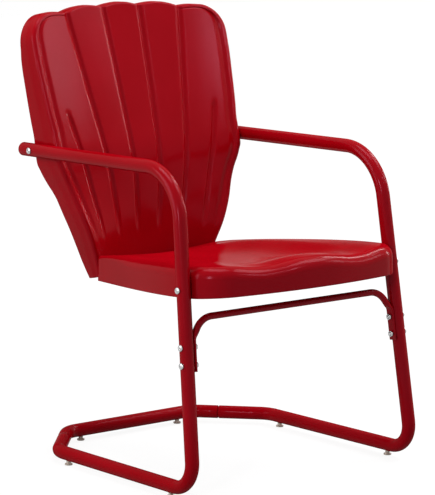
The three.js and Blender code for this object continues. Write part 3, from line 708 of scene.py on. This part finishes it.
def tube_ring(station, across, radius, shift=0.0):
    """Points round a station, moved along the tube and a little flattened in a bend."""
    point, heading, way_in, share = station
    angles = full_turn(TUBE_SIDES)
    upright = np.cross(heading, across)
    offsets = radius * (np.outer(np.cos(angles), across) + np.outer(np.sin(angles), upright))
    offsets -= np.outer(offsets @ way_in, way_in) * BEND_FLATTENING * share
    return point + heading * shift + offsets


def rounded_end(station, across, radius, way):
    """Rings from the tube's side round its outer edge to its end, where way points into the tube."""
    return [tube_ring(station, across, radius - EDGE_ROUND * (1 - math.cos(angle)),
                      way * EDGE_ROUND * (1 - math.sin(angle))) for angle in END_ROUND_ANGLES]


def hollow_tube(stations, radius, wall):
    """A tube with its bore and rounded ends, as one closed mesh."""
    route = list(zip(stations, carry_across(stations)))
    rings = rounded_end(*route[0], radius, 1)[::-1]
    rings += [tube_ring(*place, radius) for place in route[1:-1]]
    rings += rounded_end(*route[-1], radius, -1)
    rings += [tube_ring(*place, radius - wall) for place in route[::-1]]
    return looped_rings(rings)


# Turned solids

def turned_ring(radius, height, angles):
    """A ring round the Z axis. Its radius and height may change on the way round."""
    x, y = radius * np.cos(angles), radius * np.sin(angles)
    return np.stack([x, y, np.broadcast_to(height, x.shape)], 1)


def revolve(profile, sides):
    """A solid turned round the Z axis, from a profile of radius and height."""
    return closed_rings([turned_ring(radius, height, full_turn(sides)) for radius, height in profile])


# Frame

def leg_point(side, height):
    share = (height - RUNNER_HEIGHT) / (ARM_FRONT_HEIGHT - RUNNER_HEIGHT)
    half = (FOOT_SPACING + (ARM_SPACING - FOOT_SPACING) * share) / 2
    return np.array([side * half, LEG_TOP_SETBACK * share, height])


def leg_inward(side):
    along = unit(leg_point(side, ARM_FRONT_HEIGHT) - leg_point(side, RUNNER_HEIGHT))
    inward = np.array([-side, 0.0, 0.0])
    return unit(inward - along * np.dot(inward, along))


def arm_point(side, setback):
    share = (setback - LEG_TOP_SETBACK) / (ARM_REAR_SETBACK - LEG_TOP_SETBACK)
    height = ARM_FRONT_HEIGHT + (ARM_REAR_HEIGHT - ARM_FRONT_HEIGHT) * share
    return np.array([side * ARM_SPACING / 2, setback, height])


def runner_point(side, setback):
    half = (FOOT_SPACING + (HEEL_SPACING - FOOT_SPACING) * setback / CROSSBAR_SETBACK) / 2
    return np.array([side * half, setback, RUNNER_HEIGHT])


def crossbar_point(side, half):
    return np.array([side * half, CROSSBAR_SETBACK, RUNNER_HEIGHT])


def chamfer_joint(side):
    heel, corner = runner_point(side, HEEL_SETBACK), crossbar_point(side, CROSSBAR_SPAN / 2)
    return heel + (corner - heel) * CHAMFER_JOINT_SHARE


def make_side_frame(name, side):
    route = bent_route([
        arm_point(side, ARM_REAR_SETBACK),
        arm_point(side, LEG_TOP_SETBACK),
        runner_point(side, 0),
        runner_point(side, HEEL_SETBACK),
        chamfer_joint(side),
    ], [ARM_BEND_RADIUS, FOOT_BEND_RADIUS, HEEL_BEND_RADIUS])
    make_piece(f"side_tube_{name}", hollow_tube(route, TUBE_RADIUS, TUBE_WALL), TUBE_PAINT,
               [f"side_frame_{name}"], spring=True)


def make_rear_base():
    corner = {side: crossbar_point(side, CROSSBAR_SPAN / 2) for side in (-1, 1)}
    towards = {side: unit(corner[side] - chamfer_joint(side)) for side in (-1, 1)}
    shoulder = {side: chamfer_joint(side) + towards[side] * JOINT_GROOVE for side in (-1, 1)}
    route = bent_route([shoulder[-1], corner[-1], corner[1], shoulder[1]], [HEEL_BEND_RADIUS] * 2)
    make_piece("rear_base", hollow_tube(route, TUBE_RADIUS, TUBE_WALL), TUBE_PAINT,
               ["rear_base_tube"], body="base")
    for name, side in SIDES.items():
        root = shoulder[side] + towards[side] * SPIGOT_ROOT
        tip = shoulder[side] - towards[side] * SPIGOT_LENGTH
        shape = hollow_tube(bent_route([root, tip], []), BORE_RADIUS - SPIGOT_CLEARANCE / 2, TUBE_WALL)
        make_piece(f"spigot_{name}", shape, TUBE_PAINT, [], body="base")


def brace_end_point(side, height):
    inward = leg_inward(side)
    reach = TUBE_RADIUS + CONTACT_GAP + BRACE_FLAT / 2
    return leg_point(side, height - reach * inward[2]) + inward * reach


def pressed_ring(middle, across, along, roundness, inset):
    """A ring round a tube that is pressed towards a flat: two half circles with straight sides between."""
    thickness = BRACE_FLAT + (BRACE_DIAMETER - BRACE_FLAT) * roundness
    straight = math.pi * (BRACE_DIAMETER - thickness) / 2
    angles = full_turn(TUBE_SIDES) + np.pi / TUBE_SIDES
    radius = thickness / 2 - inset
    reach = radius * np.cos(angles) + np.sign(np.cos(angles)) * straight / 2
    return middle + np.outer(radius * np.sin(angles), across) + np.outer(reach, along)


def make_front_brace():
    """A round tube whose ends are pressed flat and bolted to the legs."""
    swell = (BRACE_DIAMETER - BRACE_FLAT) / 2
    top = BRACE_HEIGHT + swell
    corners = [brace_end_point(side, height) for side, height in (
        (-1, BRACE_END_HEIGHT), (-1, top), (1, top), (1, BRACE_END_HEIGHT))]
    plane = unit(np.cross([1, 0, 0], corners[1] - corners[0]))
    route = bent_route(corners, [BRACE_BEND_RADIUS + swell] * 2)
    bend_start = next(point[2] for point, _, _, share in route if share > 0)
    outer, inner = [], []
    for point, heading, _, _ in route:
        rise = (point[2] - bend_start) / (corners[1][2] - bend_start)
        roundness = float(smooth_table(rise, BRACE_RISE_SHARES, BRACE_ROUND_SHARES))
        across = unit(np.cross(plane, heading))
        middle = point - across * swell * roundness
        outer.append(pressed_ring(middle, across, plane, roundness, 0))
        inner.append(pressed_ring(middle, across, plane, roundness, BRACE_WALL))
    make_piece("brace", looped_rings(outer + inner[::-1]), TUBE_PAINT, ["front_brace"])


# Seat

def crest_line(y):
    """Height of the seat's rim, which falls and curves towards the back."""
    return SEAT_CREST_HEIGHT - SEAT_RAKE_SHARE * y - y * y / (2 * SEAT_RAKE_RADIUS)


def hem_line(y):
    return HEM_HEIGHT - HEM_RAKE_SHARE * y


SKIRT_TOP_AT_LEG = crest_line(SEAT_SIDE_SETBACK) - SEAT_RIM_RADIUS
SEAT_HALF_WIDTH = leg_point(1, SKIRT_TOP_AT_LEG)[0] - TUBE_RADIUS - CONTACT_GAP
SEAT_HEM_FLARE = leg_point(1, hem_line(SEAT_SIDE_SETBACK))[0] - leg_point(1, SKIRT_TOP_AT_LEG)[0]
SEAT_REAR_MIDDLE = BACK_LOWER_SETBACK - 3 * CONTACT_GAP


def bezier(points, count):
    """Points of a curve through its control points' ends, without the last one."""
    t = np.linspace(0, 1, count, endpoint=False)[:, None]
    order = len(points) - 1
    return sum(math.comb(order, k) * t ** k * (1 - t) ** (order - k) * np.asarray(p, float)
               for k, p in enumerate(points))


def seat_rear_line(x):
    """Setback of the seat's rear edge, which follows the curve of the back."""
    return SEAT_REAR_MIDDLE - x * x / (2 * BACK_LOWER_RADIUS)


def seat_half_outline():
    """The left half of the outline at the top of the skirt, from the front's middle to the rear's: curves
    with their numbers of points."""
    front_end = np.array([SEAT_FRONT_RUN, SEAT_FRONT_SETBACK + SEAT_FRONT_BOW])
    front_pull = np.array([SEAT_FRONT_RUN / 2, SEAT_FRONT_SETBACK])
    tip = front_end + (front_pull - front_end) * (SEAT_FRONT_RUN - SEAT_HALF_WIDTH) / (SEAT_FRONT_RUN / 2)
    side_start = np.array([SEAT_HALF_WIDTH, SEAT_SIDE_SETBACK])
    corner_pulls = [end + (tip - end) * SEAT_CORNER_PULL_SHARE for end in (front_end, side_start)]
    landing_end = side_start + [0, SEAT_LEG_LANDING]
    side_end = (SEAT_REAR_HALF_WIDTH, SEAT_REAR_SETBACK)
    rear_corner = (SEAT_REAR_HALF_WIDTH, seat_rear_line(SEAT_REAR_HALF_WIDTH))
    rear_start = (SEAT_REAR_RUN, seat_rear_line(SEAT_REAR_RUN))
    rear_end = (0, SEAT_REAR_MIDDLE)
    curves = [
        ([(0, SEAT_FRONT_SETBACK), front_pull, front_end], 60),
        ([front_end, *corner_pulls, side_start], 60),
        ([side_start, landing_end], 8),
        ([landing_end, (SEAT_HALF_WIDTH, SEAT_BARREL_SETBACK),
          (SEAT_BARREL_HALF_WIDTH, SEAT_TAPER_SETBACK), side_end], 90),
        ([side_end, rear_corner, rear_start], 40),
        ([rear_start, (SEAT_REAR_RUN / 2, SEAT_REAR_MIDDLE), rear_end], 60),
    ]
    return np.vstack([bezier(points, count) for points, count in curves] + [[rear_end]])


def seat_outline():
    """The outline at the top of the skirt, all the way round, evenly stepped."""
    half = seat_half_outline()
    closed = np.vstack([half, half[-2::-1] * [-1, 1]])
    run = np.concatenate([[0], np.cumsum(np.linalg.norm(np.diff(closed, axis=0), axis=1))])
    steps = np.linspace(0, run[-1], SEAT_POINTS, endpoint=False)
    return np.stack([np.interp(steps, run, closed[:, i]) for i in (0, 1)], 1)


def outline_outward(outline):
    """Level directions that leave a closed outline."""
    step = np.roll(outline, -1, axis=0) - np.roll(outline, 1, axis=0)
    return unit(np.stack([step[:, 1], -step[:, 0]], 1))


def seat_top(x, y):
    """Height of the seat: a dish, thigh scoops beside a pommel in front, and a dip towards the back."""
    reach = (x / SEAT_DISH_HALF_WIDTH) ** 4 + ((y - SEAT_MIDDLE_SETBACK) / SEAT_DISH_HALF_LENGTH) ** 4
    dish = SEAT_DISH_DEPTH * (1 - np.minimum(reach, 1)) ** 2
    thigh = np.clip(np.abs(x) / THIGH_SCOOP_SPAN, 0, 1) ** THIGH_SCOOP_LEAN
    scoop = THIGH_SCOOP_DEPTH * np.sin(np.pi * thigh) ** 2
    pommel = POMMEL_RISE * np.cos(np.pi / 2 * np.clip(np.abs(x) / POMMEL_HALF_WIDTH, 0, 1)) ** 2
    near_front = 1 - smooth_step(y, 0, SCOOP_LENGTH)
    near_rear = smooth_step(y, SEAT_REAR_MIDDLE - REAR_DIP_LENGTH, SEAT_REAR_MIDDLE)
    dip = REAR_DIP * near_rear * np.clip(1 - (x / SEAT_REAR_HALF_WIDTH) ** 2, 0, 1)
    return crest_line(y) - dish + near_front * (pommel - scoop) - dip


def seat_rings():
    """Rings of the seat's skin, from the middle of the dish over the rim to the hem of the skirt."""
    outline = seat_outline()
    outward = outline_outward(outline)
    tightened = smooth_step(outline[:, 1], *SEAT_RIM_TIGHTENS)
    rim = SEAT_RIM_RADIUS + (SEAT_REAR_RIM_RADIUS - SEAT_RIM_RADIUS) * tightened
    crest = outline - outward * rim[:, None]
    middle = np.array([0, SEAT_MIDDLE_SETBACK])
    rings = []
    for share in np.linspace(SEAT_INNERMOST_SHARE, 1, SEAT_TOP_RINGS):
        level = middle + (crest - middle) * share
        rings.append(np.column_stack([level, seat_top(*level.T)]))
    top = rings[-1][:, 2]
    for angle in parts(SEAT_RIM_RINGS) * math.pi / 2:
        level = crest + outward * rim[:, None] * math.sin(angle)
        rings.append(np.column_stack([level, top - rim * (1 - math.cos(angle))]))
    hem = outline + outward * SEAT_HEM_FLARE * np.abs(outward[:, :1])
    hem, skirt_top = np.column_stack([hem, hem_line(hem[:, 1])]), rings[-1]
    return rings + [skirt_top + (hem - skirt_top) * share for share in parts(SEAT_SKIRT_RINGS)]


def make_seat():
    rings = seat_rings()
    middle = rings[0].mean(axis=0)
    points = np.vstack([*rings, middle])
    last, around = len(points) - 1, np.arange(SEAT_POINTS)
    fan = np.stack([np.full(SEAT_POINTS, last), np.full(SEAT_POINTS, last), around, np.roll(around, -1)], 1)
    faces = np.vstack([grid_faces(len(rings), SEAT_POINTS, around=True)[:, ::-1], fan])
    make_piece("seat", pressed_sheet(points, faces, SHEET), SHEET_PAINT, ["seat_pan"])


# Back

def back_level(z):
    """0 at the bottom of the back, 1 where the arms hold it, 2 at its top."""
    arm = arm_point(1, ARM_BOLT_SETBACK)[2]
    below = (z - BACK_BOTTOM_HEIGHT) / (arm - BACK_BOTTOM_HEIGHT)
    above = 1 + (z - arm) / (BACK_TOP_HEIGHT - arm)
    return np.where(z < arm, below, above)


def back_profile(z):
    """Setback of the back's middle line: straight, then a bend, then the recline."""
    rise = np.maximum(z - BACK_BEND_HEIGHT, 0)
    bend_rise = BACK_BEND_RADIUS * math.sin(BACK_RECLINE)
    in_bend = np.minimum(rise, bend_rise)
    depth = BACK_BEND_RADIUS - np.sqrt(BACK_BEND_RADIUS ** 2 - in_bend ** 2)
    return BACK_LOWER_SETBACK + depth + np.maximum(rise - bend_rise, 0) * math.tan(BACK_RECLINE)


def back_setback(x, z):
    """Setback of the face, curved tightly across at the seat and widely above."""
    openness = smooth_step(z, BACK_TIGHT_HEIGHT, BACK_WIDE_HEIGHT)
    curvature = 1 / BACK_LOWER_RADIUS + (1 / BACK_UPPER_RADIUS - 1 / BACK_LOWER_RADIUS) * openness
    return back_profile(z) - x * x * curvature / 2


def back_half_width(z):
    at_arm = ARM_SPACING / 2 - TUBE_RADIUS - CONTACT_GAP - BACK_FLARE
    return at_arm * smooth_table(back_level(z), BACK_LEVELS, BACK_WIDTH_SHARES)


FACE_CORNER_RADIUS = BACK_CORNER_RADIUS - BACK_RIM_RADIUS
FACE_TOP_HALF_WIDTH = float(back_half_width(BACK_TOP_HEIGHT)) - BACK_CORNER_RADIUS
FACE_TOP_HEIGHT = (BACK_TOP_HEIGHT - FACE_TOP_HALF_WIDTH ** 2 / (2 * BACK_TOP_RADIUS) + SCALLOP_RISE
                   - BACK_RIM_RADIUS)


def face_half_width(z):
    """From the middle of the face to where its rim starts, with round top corners."""
    into_corner = np.clip(z - (FACE_TOP_HEIGHT - FACE_CORNER_RADIUS), 0, FACE_CORNER_RADIUS)
    cut = FACE_CORNER_RADIUS - np.sqrt(FACE_CORNER_RADIUS ** 2 - into_corner ** 2)
    return back_half_width(z) - BACK_RIM_RADIUS - cut


def groove_x(name, z):
    low, high = GROOVES[name]
    return low + (high - low) * (z - GROOVE_LOW_HEIGHT) / (GROOVE_HIGH_HEIGHT - GROOVE_LOW_HEIGHT)


def groove_middle(name, z):
    """Where a groove runs, kept clear of the rim by the narrowest lobe."""
    return np.minimum(groove_x(name, z), face_half_width(z) - EDGE_LOBE_MIN)


def scallop(x):
    """Rise of the scalloped top over the face's top corner line: an arch with a bump over each lobe."""
    inner, outer = groove_x("inner", FACE_TOP_HEIGHT), groove_x("outer", FACE_TOP_HEIGHT)
    marks = np.array([-inner, inner, outer, 2 * FACE_TOP_HALF_WIDTH - outer])
    lobe = np.clip(np.searchsorted(marks, x), 1, len(marks) - 1)
    phase = np.clip((x - marks[lobe - 1]) / (marks[lobe] - marks[lobe - 1]), 0, 1)
    arch = BACK_TOP_HEIGHT - x * x / (2 * BACK_TOP_RADIUS) - BACK_RIM_RADIUS
    return arch + SCALLOP_RISE * np.sin(np.pi * phase) - FACE_TOP_HEIGHT


def above_foot(z):
    """0 below the flutes' toes, and 1 where they have their full depth."""
    return smooth_step(z, GROOVE_FOOT_HEIGHT, GROOVE_FOOT_HEIGHT + GROOVE_FOOT_FADE)


def groove_cut(x, z):
    """Depth of the flutes: rounded valleys that end in round toes, between lobes with a slight crown."""
    depth = np.zeros_like(x)
    foot = above_foot(z)
    for name in GROOVES:
        strength = foot
        if name == "short":
            strength = foot * (1 - smooth_step(z, SHORT_GROOVE_TOP - GROOVE_FADE, SHORT_GROOVE_TOP))
        away = np.clip(np.abs(x - groove_middle(name, z)) / GROOVE_HALF_WIDTH, 0, 1)
        depth += GROOVE_DEPTH * strength * (1 - away ** 2) ** GROOVE_ROUNDNESS
    inner, outer = groove_middle("inner", z), groove_middle("outer", z)
    for start, end in ((-inner, inner), (inner, outer)):
        across_lobe = np.clip((x - start) / (end - start), 0, 1)
        depth -= LOBE_CROWN * np.sin(np.pi * across_lobe) * foot
    return depth


def row_heights():
    """Heights of the rows of the face, closer together round the corners."""
    corner = FACE_TOP_HEIGHT - FACE_CORNER_RADIUS
    flat = np.linspace(BACK_BOTTOM_HEIGHT, corner, BACK_FLAT_ROWS, endpoint=False)
    bend = corner + FACE_CORNER_RADIUS * np.sin(np.linspace(0, np.pi / 2, BACK_CORNER_ROWS))
    return np.concatenate([flat, bend])


def half_columns(z):
    """Distances from the middle of the left half's columns: they follow the grooves, then the rim."""
    stops, counts = [0], []
    for name in GROOVES:
        middle = float(groove_middle(name, z))
        stops += [middle - GROOVE_HALF_WIDTH, middle + GROOVE_HALF_WIDTH]
        counts += [LOBE_COLUMNS, GROOVE_COLUMNS]
    stops.append(float(face_half_width(z)))
    counts.append(EDGE_COLUMNS)
    runs = [np.linspace(a, b, n, endpoint=False) for a, b, n in zip(stops, stops[1:], counts)]
    return np.concatenate(runs + [stops[-1:]])


def face_height(x, level):
    """Height of the face where a row passes: rows bend to the drooping bottom and the scalloped top."""
    share = (level - BACK_BOTTOM_HEIGHT) / (FACE_TOP_HEIGHT - BACK_BOTTOM_HEIGHT)
    droop = BACK_BOTTOM_DROP * (1 - (x / face_half_width(level)) ** 2)
    rise = scallop(np.minimum(x, FACE_TOP_HALF_WIDTH))
    return level + rise * share ** SCALLOP_FALLOFF - droop * (1 - share) ** BACK_BOTTOM_FALLOFF


def distance_inside(x, z, side, top, radius):
    """How far a point of the face is inside the outline with these insets and rounded corners."""
    beyond_side = x - (back_half_width(z) - BACK_RIM_RADIUS - side - radius)
    beyond_top = z - (FACE_TOP_HEIGHT - top - radius)
    outside = np.hypot(np.maximum(beyond_side, 0), np.maximum(beyond_top, 0))
    return radius - outside - np.minimum(np.maximum(beyond_side, beyond_top), 0)


def channel_cut(x, z):
    """Depth of the channel inside the rim's bead: a steep fall from the bead, a slow rise to the lobe."""
    from_bead = np.maximum(distance_inside(x, z, *BEAD_INSETS), 0)
    to_lobe = np.maximum(-distance_inside(x, z, *OUTER_LOBE_INSETS), 0)
    width = from_bead + to_lobe
    share = from_bead / np.maximum(width, CHANNEL_WIDTH_MIN)
    profile = smooth_step(share, 0, CHANNEL_LOWEST_SHARE) * (1 - smooth_step(share, CHANNEL_LOWEST_SHARE, 1))
    outer = groove_x("outer", z)
    strength = smooth_step(x, outer, outer + GROOVE_HALF_WIDTH) * above_foot(z)
    return np.minimum(CHANNEL_DEPTH, CHANNEL_STEEPNESS * width) * strength * profile


def back_face():
    """Rows and columns of points of the face, from the bottom up and from the right side to the left."""
    heights = row_heights()
    half = np.array([half_columns(z) for z in heights])
    level = np.broadcast_to(heights[:, None], half.shape)
    height = face_height(half, level)
    depth = groove_cut(half, level) + channel_cut(half, level)
    x = np.hstack([-half[:, :0:-1], half])
    z, depth = (np.hstack([one[:, :0:-1], one]) for one in (height, depth))
    return np.stack([x, back_setback(x, z) + depth, z], -1)


def rim_outward(edge):
    """Directions that leave the face at the points of its edge, which runs up, across and down."""
    step = np.vstack([edge[:1], edge[:-1]]) - np.vstack([edge[1:], edge[-1:]])
    return unit(np.stack([step[:, 2], np.zeros(len(edge)), -step[:, 0]], 1))


def rim_and_skirt(edge):
    """How far outwards and how deep each ring behind the edge of the face lies."""
    skirt = SKIRT_DEPTH * smooth_table(back_level(edge[:, 2]), SKIRT_LEVELS, SKIRT_DEPTH_SHARES)
    rings = [(BACK_RIM_RADIUS * math.sin(angle), np.full(len(edge), BACK_RIM_RADIUS * (1 - math.cos(angle))))
             for angle in parts(BACK_RIM_RINGS) * math.pi / 2]
    for share in parts(BACK_SKIRT_RINGS):
        flare = BACK_FLARE * float(smooth_step(share, 0, SKIRT_FLARE_SHARE))
        rings.append((BACK_RIM_RADIUS + flare, BACK_RIM_RADIUS + (skirt - BACK_RIM_RADIUS) * share))
    return rings


def make_back():
    face = back_face()
    rows, columns = face.shape[:2]
    ids = np.arange(rows * columns).reshape(rows, columns)
    last, total = np.concatenate([ids[:, 0], ids[-1, 1:-1], ids[::-1, -1]]), rows * columns
    points, faces = [face.reshape(-1, 3)], [grid_faces(rows, columns)]
    edge = points[0][last]
    outward, press = rim_outward(edge), np.array([0, math.cos(PRESS_ANGLE), -math.sin(PRESS_ANGLE)])
    for reach, depth in rim_and_skirt(edge):
        points.append(edge + outward * reach + np.outer(depth, press))
        ring = total + np.arange(len(edge))
        faces.append(np.stack([last[:-1], last[1:], ring[1:], ring[:-1]], 1))
        last, total = ring, total + len(edge)
    shape = pressed_sheet(np.vstack(points), np.vstack(faces), SHEET)
    make_piece("back", shape, SHEET_PAINT, ["back_shell"])


# Fasteners

def through_tube(axis_point, inward, clamped):
    """Where a bolt through a tube starts, where it points, and how much it holds."""
    under = axis_point - inward * (TUBE_RADIUS + CONTACT_GAP)
    return under, inward, TUBE_DIAMETER + clamped + 3 * CONTACT_GAP


def cross_recess(x, y):
    """Depth of the driver's cross in a bolt head, with sloping walls and ends."""
    arms = [smooth_step(RECESS_HALF_WIDTH * RECESS_WALL_START - np.abs(a), 0, RECESS_HALF_WIDTH)
            * smooth_step(RECESS_REACH - np.abs(b), 0, RECESS_REACH * RECESS_END_SHARE)
            for a, b in ((x, y), (y, x))]
    return RECESS_DEPTH * np.maximum(*arms)


def bolt_mesh(grip):
    """Pan head with a cross recess, shank and a threaded end, along Z from under the head."""
    radius, head_radius, angles = BOLT_DIAMETER / 2, HEAD_DIAMETER / 2, full_turn(BOLT_SIDES)
    thread_start, end = grip * BARE_SHANK_SHARE, grip + NUT_HEIGHT + BOLT_TAIL
    rings = []
    for share in np.linspace(HEAD_INNERMOST_SHARE, 1, HEAD_RINGS):
        slope = share * math.pi / 2
        height = HEAD_EDGE_SHARE + (1 - HEAD_EDGE_SHARE) * math.cos(slope) ** HEAD_ROUNDNESS
        ring = turned_ring(head_radius * math.sin(slope), -HEAD_HEIGHT * height, angles)
        ring[:, 2] += cross_recess(ring[:, 0], ring[:, 1])
        rings.append(ring)
    for r, z in ((head_radius, 0), (radius, 0), (radius, thread_start)):
        rings.append(turned_ring(r, z, angles))
    for z in np.arange(thread_start, end, THREAD_PITCH / THREAD_RINGS):
        phase = (z / THREAD_PITCH - angles / (2 * np.pi)) % 1
        taper = max(0, z - end + THREAD_LEAD)
        rings.append(turned_ring(radius - THREAD_DEPTH * np.abs(2 * phase - 1) - taper, z, angles))
    return closed_rings(rings)


def nut_mesh():
    """A hexagon nut with both ends chamfered, outside and in the bore."""
    flat, bore = NUT_WIDTH / 2, BOLT_DIAMETER / 2 + NUT_BORE_CLEARANCE
    angles = full_turn(NUT_SIDES)
    hexagon = flat / np.cos((angles + np.pi / 6) % (np.pi / 3) - np.pi / 6)
    disc = flat * NUT_CHAMFER_START
    chamfer = (hexagon - disc) * math.tan(NUT_CHAMFER_ANGLE)
    lower = [(bore, NUT_LEAD), (bore + NUT_LEAD, 0), (disc, 0), (hexagon, chamfer)]
    upper = [(radius, NUT_HEIGHT - height) for radius, height in lower[::-1]]
    return looped_rings([turned_ring(radius, height, angles) for radius, height in lower + upper])


def make_fastener(group, which, under, inward, grip):
    """A bolt from under its head, and its nut behind what the two hold."""
    for kind, shape, start in (("bolt", bolt_mesh(grip), under), ("nut", nut_mesh(), under + inward * grip)):
        node = f"{group}_{kind}_{which}"
        make_piece(f"{node}_detail", shape, ZINC, [node], place=turn_to(start, inward))


def make_fasteners():
    for name, side in SIDES.items():
        level_in, leg_in = np.array([-side, 0.0, 0.0]), leg_inward(side)
        make_fastener("arm", name, *through_tube(arm_point(side, ARM_BOLT_SETBACK), level_in, SHEET))
        make_fastener("seat", name, *through_tube(leg_point(side, SEAT_BOLT_HEIGHT), leg_in, SHEET))
        for place, height in BRACE_BOLT_HEIGHTS.items():
            bolt = through_tube(leg_point(side, height), leg_in, BRACE_FLAT)
            make_fastener("brace", f"{place}_{name}", *bolt)
    for name, x in (("right", -BACK_BOLT_SPREAD), ("middle", 0), ("left", BACK_BOLT_SPREAD)):
        inward = unit(np.array([-x / BACK_LOWER_RADIUS, -1.0, 0.0]))
        face = np.array([x, back_setback(x, BACK_BOLT_HEIGHT), BACK_BOLT_HEIGHT])
        under = face - inward * (SHEET + CONTACT_GAP)
        make_fastener("back", name, under, inward, 2 * SHEET + 5 * CONTACT_GAP)


# Caps and glides

def make_caps():
    stem = BORE_RADIUS - CAP_STEM_CLEARANCE
    profile = [(stem - CAP_STEM_CHAMFER, -CAP_STEM_LENGTH), (stem, -CAP_STEM_LENGTH + CAP_STEM_CHAMFER),
               (stem, CONTACT_GAP)]
    for angle in np.linspace(0, CAP_DOME_ANGLE, CAP_DOME_RINGS):
        profile.append((TUBE_RADIUS * math.cos(angle), CONTACT_GAP + CAP_DOME_HEIGHT * math.sin(angle)))
    shape = revolve(profile, TUBE_SIDES)
    for name, side in SIDES.items():
        node, end = f"arm_end_cap_{name}", arm_point(side, ARM_REAR_SETBACK)
        place = turn_to(end, unit(end - arm_point(side, LEG_TOP_SETBACK)))
        make_piece(f"cap_{name}", shape, CAP_PLASTIC, [node], place=place)


def glide_profile():
    """A disc with a rounded edge on the floor, and a stem that ends in the tube."""
    radius, stem = GLIDE_DIAMETER / 2, GLIDE_STEM_DIAMETER / 2
    profile = [(radius - GLIDE_SOLE_INSET, 0)]
    for angle in GLIDE_EDGE_ANGLES:
        middle = GLIDE_EDGE if angle < 0 else GLIDE_DISC_HEIGHT - GLIDE_EDGE
        profile.append((radius - GLIDE_EDGE * (1 - math.cos(angle)), middle + GLIDE_EDGE * math.sin(angle)))
    return profile + [(stem + GLIDE_STEM_CHAMFER, GLIDE_DISC_HEIGHT),
                      (stem, GLIDE_DISC_HEIGHT + GLIDE_STEM_CHAMFER), (stem, GLIDE_LIFT + GLIDE_STEM_GRIP)]


def make_glides():
    shape = revolve(glide_profile(), GLIDE_SIDES)
    for name, side in SIDES.items():
        for where, foot in (("front", runner_point(side, GLIDE_FRONT_SETBACK)),
                            ("rear", runner_point(side, GLIDE_REAR_SETBACK)),
                            ("crossbar", crossbar_point(side, GLIDE_CROSSBAR_HALF))):
            node, place = f"glide_{where}_{name}", Matrix.Translation((foot[0], foot[1], 0))
            make_piece(f"{node}_detail", shape, NYLON, [node], body="base", place=place)


for side_name, side_sign in SIDES.items():
    make_side_frame(side_name, side_sign)
make_rear_base()
make_front_brace()
make_seat()
make_back()
make_fasteners()
make_caps()
make_glides()
